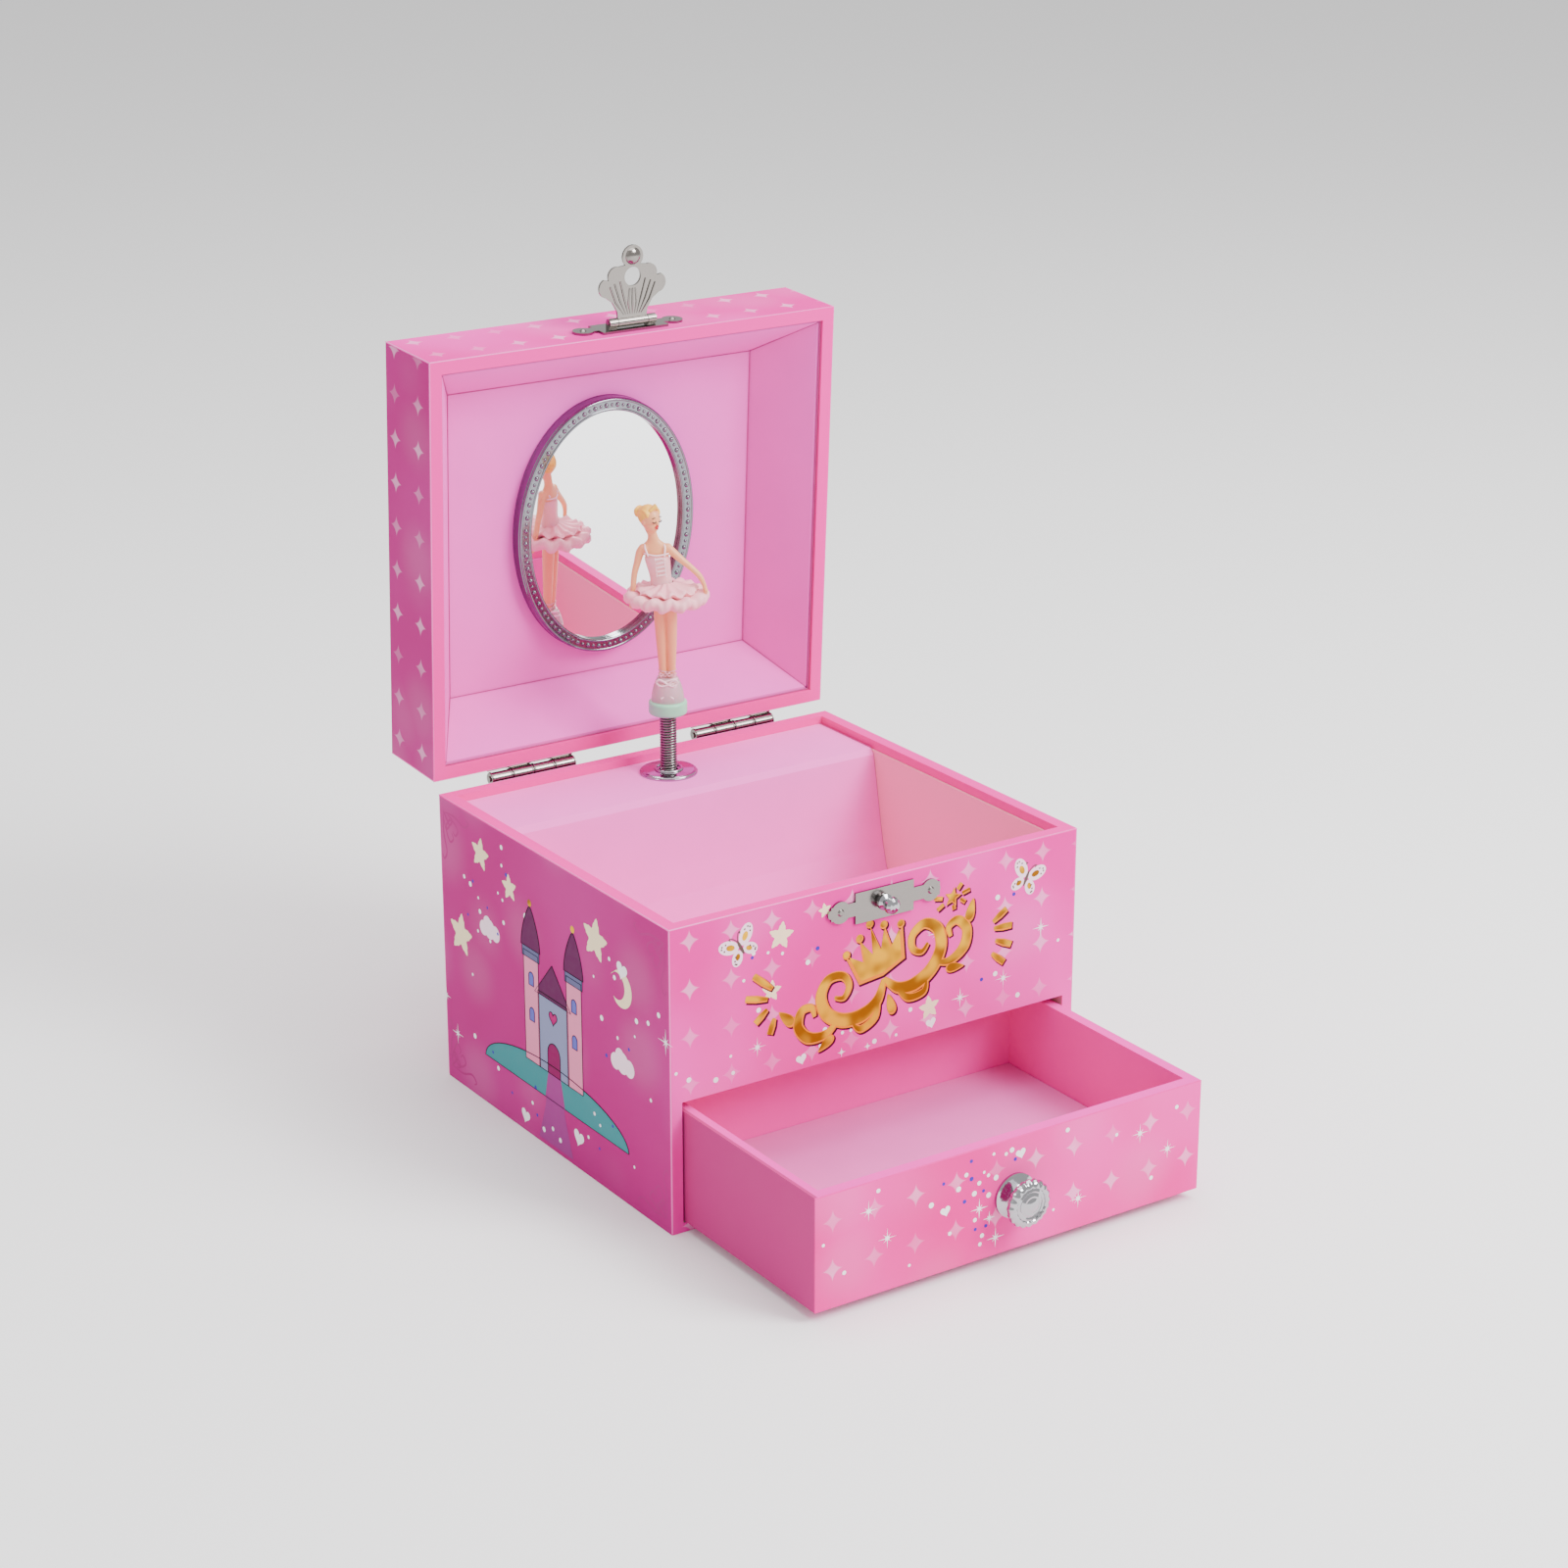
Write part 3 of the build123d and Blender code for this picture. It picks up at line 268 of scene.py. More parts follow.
openTurn = math.radians(hinge["open"])
hy, hz = hinge["y"] * mm, hinge["z"] * mm
turnedY = hy * math.cos(openTurn) - hz * math.sin(openTurn)
turnedZ = hy * math.sin(openTurn) + hz * math.cos(openTurn)
lidPlace = ((0, hy - turnedY, hz - turnedZ), (openTurn, 0, 0))
drawerPlace = ((0, pulled * mm, 0), (0, 0, 0))
still = ((0, 0, 0), (0, 0, 0))
pink = (0.88, 0.02, 0.37)
mats = {
    "case": printedPaper("case print", still, pink, (-0.068, 0.0475), caseRim),
    "lid": printedPaper("lid print", lidPlace, pink, (-0.068, 0.106), lidRim),
    "drawerPrint": printedPaper("drawer print", drawerPlace, (0.9, 0.013, 0.304), (-0.0643, 0.0155),
        drawerRim),
    "lilac": wear(newMat("lining paper", (0.9, 0.13, 0.6), 0.66, Specular_IOR_Level=0.03), 0.05, 60),
    "hot": wear(newMat("drawer paper", (0.92, 0.045, 0.46), 0.55, Specular_IOR_Level=0.03), 0.06, 45),
    "floor": wear(newMat("drawer lining", (0.78, 0.155, 0.5), 0.75, Specular_IOR_Level=0.03), 0.07, 50),
    "board": wear(newMat("grey board", (0.5, 0.42, 0.33), 0.85), 0.1, 300),
    "chrome": wear(newMat("chrome", (0.4, 0.4, 0.42), 0.09, 1.0), 0.03, 400, 0),
    "nickel": wear(newMat("nickel", (0.24, 0.22, 0.205), 0.17, 1.0), 0.08, 500, 0.03),
    "silver": wear(newMat("plated plastic", (0.2, 0.205, 0.225), 0.13, 1.0), 0.1, 900, 0.15),
    "mirror": newMat("mirror", (0.93, 0.94, 0.95), 0.015, 1.0),
    "brass": wear(newMat("brass", (0.7, 0.48, 0.15), 0.28, 1.0), 0.08, 400),
    "zinc": wear(newMat("zinc casting", (0.42, 0.43, 0.45), 0.4, 1.0), 0.1, 300, 0.2),
    "steel": wear(newMat("spring steel", (0.24, 0.225, 0.215), 0.2, 1.0), 0.08, 500),
    "mint": wear(newMat("mint plastic", (0.27, 0.75, 0.45), 0.35, Subsurface_Weight=0.2), 0.05, 300),
    "rose": newMat("frosted rose", (0.9, 0.62, 0.64), 0.4, Transmission_Weight=0.45, Subsurface_Weight=0.2),
    "skin": wear(newMat("skin paint", (0.88, 0.36, 0.17), 0.42, Subsurface_Weight=0.15), 0.04, 350),
    "dress": wear(newMat("dress paint", (0.92, 0.42, 0.46), 0.34, Subsurface_Weight=0.25), 0.1, 420, 0.12),
    "ribbon": wear(newMat("ribbon paint", (0.98, 0.7, 0.74), 0.35), 0.04, 400),
    "shelf": wear(newMat("shelf paper", (0.96, 0.18, 0.64), 0.6, Specular_IOR_Level=0.05), 0.05, 60),
    "seam": wear(newMat("paper edge", (0.52, 0.07, 0.26), 0.6, Specular_IOR_Level=0.1), 0.08, 300),
    # lighter pink for the thin lines along the box's outer edges and corners, a painted highlight
    "glint": wear(newMat("painted edge highlight", (0.96, 0.2, 0.6), 0.5, Specular_IOR_Level=0.1), 0.04, 300),
    "tulle": wear(newMat("tutu paint", (0.94, 0.44, 0.5), 0.4, Specular_IOR_Level=0.3), 0.05, 420, 0.05),
    "hair": wear(newMat("hair paint", (0.9, 0.5, 0.06), 0.45), 0.18, 500, 0.4),
    "lips": newMat("lip paint", (0.6, 0.008, 0.02), 0.35),
    "lash": newMat("lash paint", (0.08, 0.04, 0.03), 0.5),
    "white": wear(newMat("white print", (1.0, 0.93, 0.97), 0.5, Specular_IOR_Level=0.1), 0.03, 300, 0),
    "key": wear(newMat("moulded white", (0.8, 0.79, 0.76), 0.4), 0.04, 300),
}
flatInks = {
    "cream": (0.95, 0.78, 0.5), "ink": (0.05, 0.03, 0.42), "gold": (0.95, 0.47, 0.015), "amber": (0.8, 0.22,
        0.01),
    "umber": (0.05, 0.006, 0.02), "stone": (0.24, 0.26, 0.42), "shade": (0.13, 0.13, 0.26), "roof": (0.12,
        0.015, 0.08),
    "tower": (0.8, 0.24, 0.4), "teal": (0.05, 0.26, 0.28),
    "door": (0.25, 0.008, 0.1), "window": (0.13, 0.13, 0.5), "filigree": (0.42, 0.025, 0.19), "path": (0.34,
        0.045, 0.24),
    "line": (0.015, 0.01, 0.015), "wing": (1.0, 0.72, 0.84), "mag": (0.45, 0.01, 0.16),
}
for ink, color in flatInks.items():
    mats[ink] = wear(newMat(ink + " print", color, 0.5, Specular_IOR_Level=0.05), 0.05, 500, 0)
trayPaper = newMat("tray paper", (0.92, 0.115, 0.58), 0.66, Specular_IOR_Level=0.03)
mats["tray"] = wear(trayPaper, 0.05, 60)
# the outside of the drawer's left side, darkened as painted shade, and the tray's right wall
faceColor(mats["hot"], "LESS_THAN", -0.0692, (0.5, 0.035, 0.2))
faceColor(mats["tray"], "GREATER_THAN", 0.0695, (1.0, 0.4, 0.52))
goldTree = Tree(mats["gold"])
goldTree.shader.inputs["Metallic"].default_value = 0.25
sheen = goldTree.ramp(goldTree.noise(goldTree.coords(), 120, 1), 0.36, 0.62)
goldTree.link(goldTree.mix(sheen, (0.27, 0.1, 0.001), (0.8, 0.44, 0.002)),
              goldTree.shader.inputs["Base Color"])
print("materials done")

usedBy = {
    "case": ["case_wrap"], "lid": ["lid_wrap"], "drawerPrint": ["drawer_front_wrap"],
    "tray": ["tray_lining"],
    "shelf": ["shelf_panel"],
    "lilac": ["tray_floor_lining", "lid_lining", "lid_lining_panel"],
    "hot": ["drawer_sides", "drawer_back", "drawer_front"], "floor": ["drawer_floor"],
    "board": ["case_left_side", "case_right_side", "case_rear_wall", "case_front_panel", "case_bottom_panel",
              "drawer_deck", "bay_back_panel", "lid_top_panel", "lid_side_walls", "lid_front_wall", "lid_rear_wall",
              "drawer_bottom"],
    "chrome": ["spring_grommet", "lock_stud", "winding_key"],
    "nickel": ["lock_plate", "case_nails", "hinge_case_leaves", "hinge_pins", "movement_screws",
               "winding_arbor",
               "cylinder_arbor", "governor_worm", "hinge_lid_leaves", "hasp_plate", "hasp_pin", "lid_nails", "knob_screw"],
    "silver": ["mirror_frame"], "mirror": ["mirror_glass"],
    "brass": ["great_wheel", "lantern_pinion", "music_cylinder", "drive_gear"],
    "zinc": ["movement_base", "spring_housing", "governor_bracket"],
    "steel": ["mainspring", "comb"], "mint": ["stand_disc"], "key": ["governor_wheel", "air_brake"],
    "rose": ["shoe_base"],
}
for key, names in usedBy.items():
    for name in names:
        nodes[name].data.materials.clear()
        nodes[name].data.materials.append(mats[key])


# ---- modelling helpers ----


def pick(obj):
    bpy.ops.object.select_all(action="DESELECT")
    obj.select_set(True)
    bpy.context.view_layer.objects.active = obj


def named(name, mat, smooth=None):
    obj = bpy.context.object
    obj.name = name
    obj.data.materials.clear()
    obj.data.materials.append(mats[mat])
    if smooth is not None:
        bpy.ops.object.shade_smooth_by_angle(angle=math.radians(smooth))
    return obj


def applied(obj, kind, **values):
    pick(obj)
    mod = obj.modifiers.new(kind.title(), kind)
    for key, value in values.items():
        setattr(mod, key, value)
    bpy.ops.object.modifier_apply(modifier=mod.name)
    return obj


def settle(obj):
    pick(obj)
    bpy.ops.object.transform_apply(location=True, rotation=True, scale=True)
    return obj


def joined(objs, name):
    bpy.ops.object.select_all(action="DESELECT")
    for obj in objs:
        obj.select_set(True)
    bpy.context.view_layer.objects.active = objs[0]
    if len(objs) > 1:
        bpy.ops.object.join()
    objs[0].name = name
    return objs[0]


def turns(count):
    # angles once round
    return [2 * math.pi * k / count for k in range(count)]


def halfTurn(count):
    return [math.pi * k / count for k in range(count + 1)]


def stacked(rings, sides):
    # a disc extruded once for each further ring; a vertex's z is its ring's number
    bpy.ops.mesh.primitive_circle_add(vertices=sides, radius=1, fill_type="NGON")
    bpy.ops.object.mode_set(mode="EDIT")
    for _ in rings[1:]:
        bpy.ops.mesh.extrude_region_move(TRANSFORM_OT_translate={"value": (0, 0, 1)})
    bpy.ops.object.mode_set(mode="OBJECT")
    return bpy.context.object


def ball(place, size, segments=24, rings=16, turn=(0, 0, 0)):
    bpy.ops.mesh.primitive_uv_sphere_add(segments=segments, ring_count=rings, radius=1, location=place,
        rotation=turn)
    obj = bpy.context.object
    obj.scale = tuple(s * mm for s in size) if isinstance(size, tuple) else (size * mm,) * 3
    return settle(obj)


def tube(points, radii, name="tube", sides=12, closed=False):
    # a round tube through points (metres) with its own radius at each (mm)
    curve = bpy.data.curves.new(name, "CURVE")
    curve.dimensions = "3D"
    curve.bevel_depth = mm
    curve.bevel_resolution = sides // 4
    curve.use_fill_caps = True
    spline = curve.splines.new("POLY")
    spline.points.add(len(points) - 1)
    for point, place, radius in zip(spline.points, points, radii):
        point.co = (*place, 1)
        point.radius = radius
    spline.use_cyclic_u = closed
    obj = bpy.data.objects.new(name, curve)
    bpy.context.scene.collection.objects.link(obj)
    pick(obj)
    bpy.ops.object.convert(target="MESH")
    return bpy.context.object


def smoothLine(points, steps=8):
    # Catmull-Rom through the points
    out = []
    ends = [points[0]] + list(points) + [points[-1]]
    for i in range(1, len(ends) - 2):
        p0, p1, p2, p3 = (Vector(p) for p in ends[i - 1:i + 3])
        for k in range(steps):
            s = k / steps
            out.append(0.5 * ((2 * p1) + (p2 - p0) * s + (2 * p0 - 5 * p1 + 4 * p2 - p3) * s * s
                              + (3 * p1 - p0 - 3 * p2 + p3) * s * s * s))
    out.append(Vector(points[-1]))
    return out


def lerpList(values, count):
    out = []
    for i in range(count):
        f = i / (count - 1) * (len(values) - 1)
        k = min(int(f), len(values) - 2)
        out.append(values[k] + (values[k + 1] - values[k]) * (f - k))
    return out


def flat(name, mat, loops, place, depth):
    # thin printed shape from closed outlines in mm, laid on a face by place(u, v, lift)
    curve = bpy.data.curves.new(name, "CURVE")
    curve.dimensions = "2D"
    curve.fill_mode = "FRONT"
    for loop in loops:
        spline = curve.splines.new("POLY")
        spline.points.add(len(loop) - 1)
        for point, (u, v) in zip(spline.points, loop):
            point.co = (u * mm, v * mm, 0, 1)
        spline.use_cyclic_u = True
    obj = bpy.data.objects.new(name, curve)
    bpy.context.scene.collection.objects.link(obj)
    pick(obj)
    bpy.ops.object.convert(target="MESH")
    obj = bpy.context.object
    for vert in obj.data.vertices:
        vert.co = place(vert.co.x / mm, vert.co.y / mm, depth)
    if place is onLeft:
        obj.data.flip_normals()
    obj.data.materials.clear()
    obj.data.materials.append(mats[mat])
    return obj


def onFront(u, v, lift):
    return Vector((u * mm, (-halfDepth - lift) * mm, v * mm))


def onDrawer(u, v, lift):
    return Vector((u * mm, (-halfDepth - pulled - lift) * mm, v * mm))


def onLeft(u, v, lift):
    # u is y on the left face; seen from outside, y runs right to left
    return Vector(((-halfWidth - lift) * mm, u * mm, v * mm))


def roundLoop(u, v, r, count=14):
    return [(u + r * math.cos(a), v + r * math.sin(a)) for a in turns(count)]


def starLoop(u, v, outer, inner, points=5, turn=90.0):
    out = []
    for i in range(points * 2):
        r = outer if i % 2 == 0 else inner
        a = math.radians(turn + 180 * i / points)
        out.append((u + r * math.cos(a), v + r * math.sin(a)))
    return out


def softStar(u, v, r, turn=90.0):
    # a five-pointed star with rounded points
    out = []
    for a in turns(60):
        k = 0.72 + 0.28 * math.cos(5 * a) ** 3 if math.cos(5 * a) > 0 else 0.72 + 0.22 * math.cos(5 * a)
        out.append((u + r * k * math.cos(a + math.radians(turn)), v
                    + r * k * math.sin(a + math.radians(turn))))
    return out


def heartLoop(u, v, r, turn=0.0):
    out = []
    for a in turns(28):
        hx = 16 * math.sin(a) ** 3 / 17
        hv = (13 * math.cos(a) - 5 * math.cos(2 * a) - 2 * math.cos(3 * a) - math.cos(4 * a)) / 17
        c, s = math.cos(math.radians(turn)), math.sin(math.radians(turn))
        out.append((u + r * (hx * c - hv * s), v + r * (hx * s + hv * c)))
    return out


def ribbonLoop(points, widths):
    # the outline of a stroke through points with a width at each
    left, right = [], []
    for i, (u, v) in enumerate(points):
        a = points[max(i - 1, 0)]
        b = points[min(i + 1, len(points) - 1)]
        du, dv = b[0] - a[0], b[1] - a[1]
        size = math.hypot(du, dv) or 1
        w = widths[i] / 2
        left.append((u - dv / size * w, v + du / size * w))
        right.append((u + dv / size * w, v - du / size * w))
    return left + right[::-1]


def stroke(points, widths, steps=8):
    fine = [(p.x, p.y) for p in smoothLine([(u, v, 0) for u, v in points], steps)]
    return ribbonLoop(fine, lerpList(widths, len(fine)))

# ---- spring under the dancer ----
coil = {"radius": 2.4, "wire": 0.42, "low": 95.9, "high": 115.75, "turns": 21}
points = []
coilSteps = coil["turns"] * 20
for i in range(coilSteps + 1):
    a = 2 * math.pi * i / 20
    height = coil["low"] + coil["wire"] + (coil["high"] - coil["low"] - 2 * coil["wire"]) * i / coilSteps
    points.append(Vector(((figure["x"] + coil["radius"] * math.cos(a)) * mm,
                          (figure["y"] + coil["radius"] * math.sin(a)) * mm, height * mm)))
spring = tube(points, [coil["wire"]] * len(points), "figureSpring", 8)
named("figureSpring", "steel", 60)
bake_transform(spring)
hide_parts("figure_spring")
print("spring done")

# ---- dancer ----
# sections up the body: sideways, height above the shelf, half width, half depth, forward
dancer = {
    "legs": [
        [(-1.3, 32.0, 1.2, 1.4, 0.2), (-1.45, 36.0, 1.35, 1.5, 0), (-1.7, 42.0, 1.65, 1.75, 0),
         (-2.0, 50.0, 1.95, 2.0, 0),
         (-2.4, 59.0, 2.25, 2.3, 0)],
        [(1.3, 32.0, 1.2, 1.4, 0.2), (1.35, 36.0, 1.35, 1.5, 0), (1.45, 42.0, 1.65, 1.75, 0),
         (1.4, 50.0, 1.95, 2.0, 0),
         (1.3, 59.0, 2.25, 2.3, 0)],
    ],
    "bodice": [(-0.8, 57.5, 4.2, 3.5, 0), (-1.2, 62.0, 3.9, 3.1, 0), (-1.7, 66.0, 3.35, 2.5, 0),
               (-2.2, 69.0, 3.7, 2.8, 0.2),
               (-2.7, 72.2, 4.2, 3.3, 0.5), (-3.0, 74.2, 4.1, 2.7, 0.3)],
    "chest": [(-2.8, 72.6, 3.9, 2.4, 0.1), (-3.2, 75.4, 4.7, 2.2, 0), (-3.5, 77.0, 4.3, 1.7, -0.1),
              (-3.8, 78.2, 2.4, 1.5, -0.2),
              (-4.1, 79.4, 1.55, 1.4, -0.1), (-4.5, 82.6, 1.5, 1.5, 0.2)],
    "armLeft": [(-7.3, 76.0, 0.2), (-8.3, 74.6, 0.2), (-9.3, 71.0, 0.2), (-10.2, 67.5, 0.4),
                (-10.6, 63.5, 0.8), (-10.9, 59.6, 1.2),
                (-11.2, 57.6, 1.3)],
    "armRight": [(0.6, 76.2, 0.2), (1.9, 75.0, 0.3), (5.0, 72.2, 0.4), (8.0, 69.6, 0.4), (10.6, 67.0, 0.6),
                 (12.0, 64.4, 0.9),
                 (12.6, 62.2, 1.2)],
    "armRadii": [1.45, 1.4, 1.15, 1.0, 0.95, 0.75, 0.7],
    "head": (-5.0, 85.6, 0.6),
    "look": 48.0,
}


def lofted(sections, name, sides=20):
    # a skin over elliptical sections, built from one ring extruded upwards
    obj = stacked(sections, sides)
    for vert in obj.data.vertices:
        side, height, wide, deep, forward = sections[round(vert.co.z)]
        u, w = vert.co.x * wide, vert.co.y * deep
        vert.co = across(side + u, height, forward - w)
    applied(obj, "SUBSURF", levels=2, render_levels=2)
    obj.name = name
    return obj


def fused(objs, name, voxel, smooth):
    obj = joined(objs, name)
    applied(obj, "REMESH", mode="VOXEL", voxel_size=voxel * mm)
    applied(obj, "SMOOTH", factor=0.5, iterations=smooth)
    bpy.ops.object.shade_smooth()
    return obj


facing = math.radians(figure["face"])
skinParts = [lofted(leg, "leg") for leg in dancer["legs"]]
skinParts.append(lofted(dancer["chest"], "chest"))
for arm in ("armLeft", "armRight"):
    line = smoothLine([across(*p) for p in dancer[arm]], 6)
    skinParts.append(tube(line, lerpList(dancer["armRadii"], len(line)), arm, 16))
    named(arm, "skin")
    start, tip = line[0], line[-1]
    skinParts.append(ball(start, 1.5, 16, 10))
    # hand: a flat palm with a few fingers resting on the skirt
    skinParts.append(ball(tip, (0.85, 0.55, 1.05), 14, 10, (0, 0, facing)))
    for k in range(3):
        out = across(dancer[arm][-1][0] + (-0.5 + 0.5 * k), dancer[arm][-1][1] - 1.1, dancer[arm][-1][2]
                     + 0.35)
        skinParts.append(tube([tip, out], [0.34, 0.26], "finger", 8))
for side in (-7.0, 0.2):
    skinParts.append(ball(across(side * 0.86 - 0.5, 75.9, 0.1), 1.75, 16, 10))
hx, hh, hf = dancer["head"]
lookTurn = facing + math.radians(dancer["look"])


def faceSpot(side, up, out):
    # a point on the head, by its own left-right, height and outward distance
    c, s = math.cos(lookTurn), math.sin(lookTurn)
    base = across(hx, hh + up, hf)
    return base + Vector((side * c + out * s, side * s - out * c, 0)) * mm


def headBall(spot, size, segments, rings):
    return ball(faceSpot(*spot), size, segments, rings, (0, 0, lookTurn))


skinParts.append(headBall((0, 0.6, 0), (3.1, 3.5, 3.7), 28, 18))
skinParts.append(headBall((0, -1.3, 0.9), (2.35, 2.3, 2.75), 24, 16))
skinParts.append(headBall((0, -3.0, 1.9), (1.05, 1.0, 0.9), 16, 10))
skinParts.append(tube([faceSpot(0, 0.7, 3.05), faceSpot(0, -0.75, 3.75), faceSpot(0, -1.0, 3.2)],
    [0.3, 0.5, 0.3], "nose", 10))
skinParts.append(tube([faceSpot(0, -2.0, -0.6), across(-4.4, 81.0, 0.1)], [1.65, 1.55], "throat", 16))
for side in (-1.25, 1.25):
    skinParts.append(headBall((side, 0.15, 2.75), (0.75, 0.5, 0.6), 14, 10))
    skinParts.append(headBall((side * 2.35, -0.2, 0.1), (0.4, 0.7, 0.95), 12, 8))
body = fused(skinParts, "dancerSkin", 0.17, 3)
named("dancerSkin", "skin")
bpy.ops.object.shade_smooth()
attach(body, "figure")
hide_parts("ballerina")

# painted face: closed lids, brows and lips
faceParts = []
for side in (-1.25, 1.25):
    lid = [faceSpot(side + 0.75 * math.cos(a), 0.0 - 0.34 * math.sin(a), 3.44 - 0.2 * abs(math.cos(a)) ** 2)
           for a in halfTurn(8)]
    faceParts.append(tube(lid, [0.2] * 9, "lid", 8))
    brow = [faceSpot(side + 0.85 * math.cos(a), 0.95 + 0.35 * math.sin(a), 3.24 - 0.2 * abs(math.cos(a)) ** 2)
            for a in [math.pi * (0.1 + 0.8 * k / 6) for k in range(7)]]
    faceParts.append(tube(brow, [0.15] * 7, "brow", 8))
lashes = joined(faceParts, "dancerLashes")
named("dancerLashes", "lash")
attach(lashes, "figure")
lipParts = [
    tube([faceSpot(-0.7, -1.95, 3.0), faceSpot(-0.22, -1.76, 3.3), faceSpot(0.22, -1.76, 3.3),
          faceSpot(0.7, -1.95, 3.0)],
         [0.2, 0.42, 0.42, 0.2], "lip", 10),
    tube([faceSpot(-0.55, -2.1, 3.0), faceSpot(0, -2.36, 3.3), faceSpot(0.55, -2.1, 3.0)], [0.2, 0.46, 0.2],
         "lip", 10),
]
lips = joined(lipParts, "dancerLips")
named("dancerLips", "lips", 60)
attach(lips, "figure")

# hair swept back into a bun with a rolled fringe
hairParts = [headBall((0, 1.35, -0.75), (3.35, 3.5, 3.55), 28, 18)]
for k in range(9):
    swing = -1 + 2 * k / 8
    wisp = [faceSpot(swing * 2.6, 2.2 - 0.9 * abs(swing), 2.6 - 1.1 * abs(swing)),
            faceSpot(swing * 2.7, 3.7 - 1.0 * abs(swing), 1.0),
            faceSpot(swing * 2.2, 3.8 - 0.6 * abs(swing), -1.4), faceSpot(swing * 1.3, 2.4, -3.6)]
    line = smoothLine(wisp, 5)
    hairParts.append(tube(line, lerpList([0.35, 0.62, 0.6, 0.4], len(line)), "wisp", 8))
hairParts.append(tube([faceSpot(-1.6, 3.3, 1.6), faceSpot(0.2, 4.7, 2.2), faceSpot(2.0, 3.1, 1.9)],
    [0.5, 0.95, 0.35], "forelock", 12))
hairParts.append(headBall((0, 1.9, -4.6), (1.9, 1.7, 1.75), 20, 14))
for k in range(3):
    ring = [faceSpot((1.85 - 0.5 * k) * math.cos(a), 1.9 + (1.7 - 0.5 * k) * math.sin(a), -4.75 - 0.55 * k)
            for a in turns(18)]
    hairParts.append(tube(ring, [0.34] * 18, "roll", 8, True))
hair = fused(hairParts, "dancerHair", 0.16, 1)
named("dancerHair", "hair")
bpy.ops.object.shade_smooth()
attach(hair, "figure")

# bodice with a scooped neckline, straps and front lacing
bodice = lofted(dancer["bodice"], "dancerBodice", 24)
named("dancerBodice", "dress", 60)
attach(bodice, "figure")
trim = []
for side in (-1, 1):
    trim.append(tube(smoothLine([across(-3.0 + side * 2.6, 74.0, 2.6), across(-3.4 + side * 3.2, 76.6, 1.9),
        across(-3.6 + side * 3.0, 77.2, 0),
                                 across(-3.3 + side * 2.9, 75.4, -2.0)], 5), [0.3] * 16, "strap", 8))
neckline = [across(-3.0 + 4.15 * math.cos(a), 74.3 + 0.35 * abs(math.cos(a)), 0.3 + 2.75 * math.sin(a))
            for a in
            turns(28)]
trim.append(tube(neckline, [0.26] * 28, "neckline", 8, True))
for k in range(5):
    h = 67.6 + 1.35 * k
    lean = -2.0 - 0.16 * (h - 67.6)
    out = 2.85 + 0.1 * k
    trim.append(tube([across(lean - 1.2 + 0.75, h, out + 0.12),
                      across(lean + 1.2 + 0.75, h + 0.5, out + 0.17)], [0.3, 0.3], "lace", 8))
for side in (-1.5, 1.5):
    trim.append(tube([across(-1.3 + side, 67.2, 3.0), across(-2.0 + side, 73.6, 3.35)], [0.16, 0.16], "seam",
                     8))
trimMesh = joined(trim, "dancerTrim")
named("dancerTrim", "ribbon", 60)
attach(trimMesh, "figure")
print("dancer done")


# ---- tutu: a dish of pleats with a rolled frill round the edge ----
tutu = {"pleats": 13, "around": 260, "reach": 14.0}


def frill(name, rings, wave, lift, thick):
    bpy.ops.mesh.primitive_circle_add(vertices=tutu["around"], radius=1, fill_type="NOTHING")
    obj = bpy.context.object
    bpy.ops.object.mode_set(mode="EDIT")
    for _ in rings[1:]:
        bpy.ops.mesh.select_all(action="DESELECT")
        bpy.ops.object.mode_set(mode="OBJECT")
        top = max(v.co.z for v in obj.data.vertices)
        for edge in obj.data.edges:
            edge.select = all(obj.data.vertices[i].co.z > top - 0.5 for i in edge.vertices)
        for vert in obj.data.vertices:
            vert.select = vert.co.z > top - 0.5
        bpy.ops.object.mode_set(mode="EDIT")
        bpy.ops.mesh.extrude_region_move(TRANSFORM_OT_translate={"value": (0, 0, 1)})
    bpy.ops.object.mode_set(mode="OBJECT")
    for vert in obj.data.vertices:
        radius, height, ripple = rings[round(vert.co.z)]
        a = math.atan2(vert.co.y, vert.co.x)
        n = tutu["pleats"]
        w = math.sin(n * a + wave + 0.9 * math.sin(3 * a + wave)) + 0.35 * math.sin(2.6 * n * a + 2 * wave)
        r = min(radius + ripple * 0.55 * w, tutu["reach"])
        up = height + lift + ripple * 0.85 * math.cos(n * a + wave)
        vert.co = across(r * math.cos(a), up, r * math.sin(a))
    applied(obj, "SOLIDIFY", thickness=thick * mm, offset=0)
    applied(obj, "SMOOTH", factor=0.5, iterations=2)
    obj.name = name
    return obj


layers = [
    frill("dish", [(1.9, 63.3, 0), (5.6, 61.6, 0.25), (8.4, 61.2, 0.5), (10.8, 61.7, 0.7), (12.4, 61.8, 0.9),
                   (13.2, 60.9, 1.0), (13.3, 59.6, 1.0),
                   (12.6, 58.4, 0.9), (10.8, 57.7, 0.5), (7.0, 57.5, 0.1), (3.2, 57.6, 0)], 0.4, 0, 0.2),
    frill("ruffle", [(1.9, 65.0, 0), (5.4, 63.5, 0.3), (7.6, 63.1, 0.55), (9.4, 63.4, 0.75),
                     (10.1, 62.6, 0.75), (9.2, 61.6, 0.5), (6.0, 61.4, 0.1)], 1.7, 0, 0.2),
]
skirt = joined(layers, "dancerTutu")
named("dancerTutu", "tulle", 70)
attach(skirt, "figure")
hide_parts("tutu")
print("tutu done")

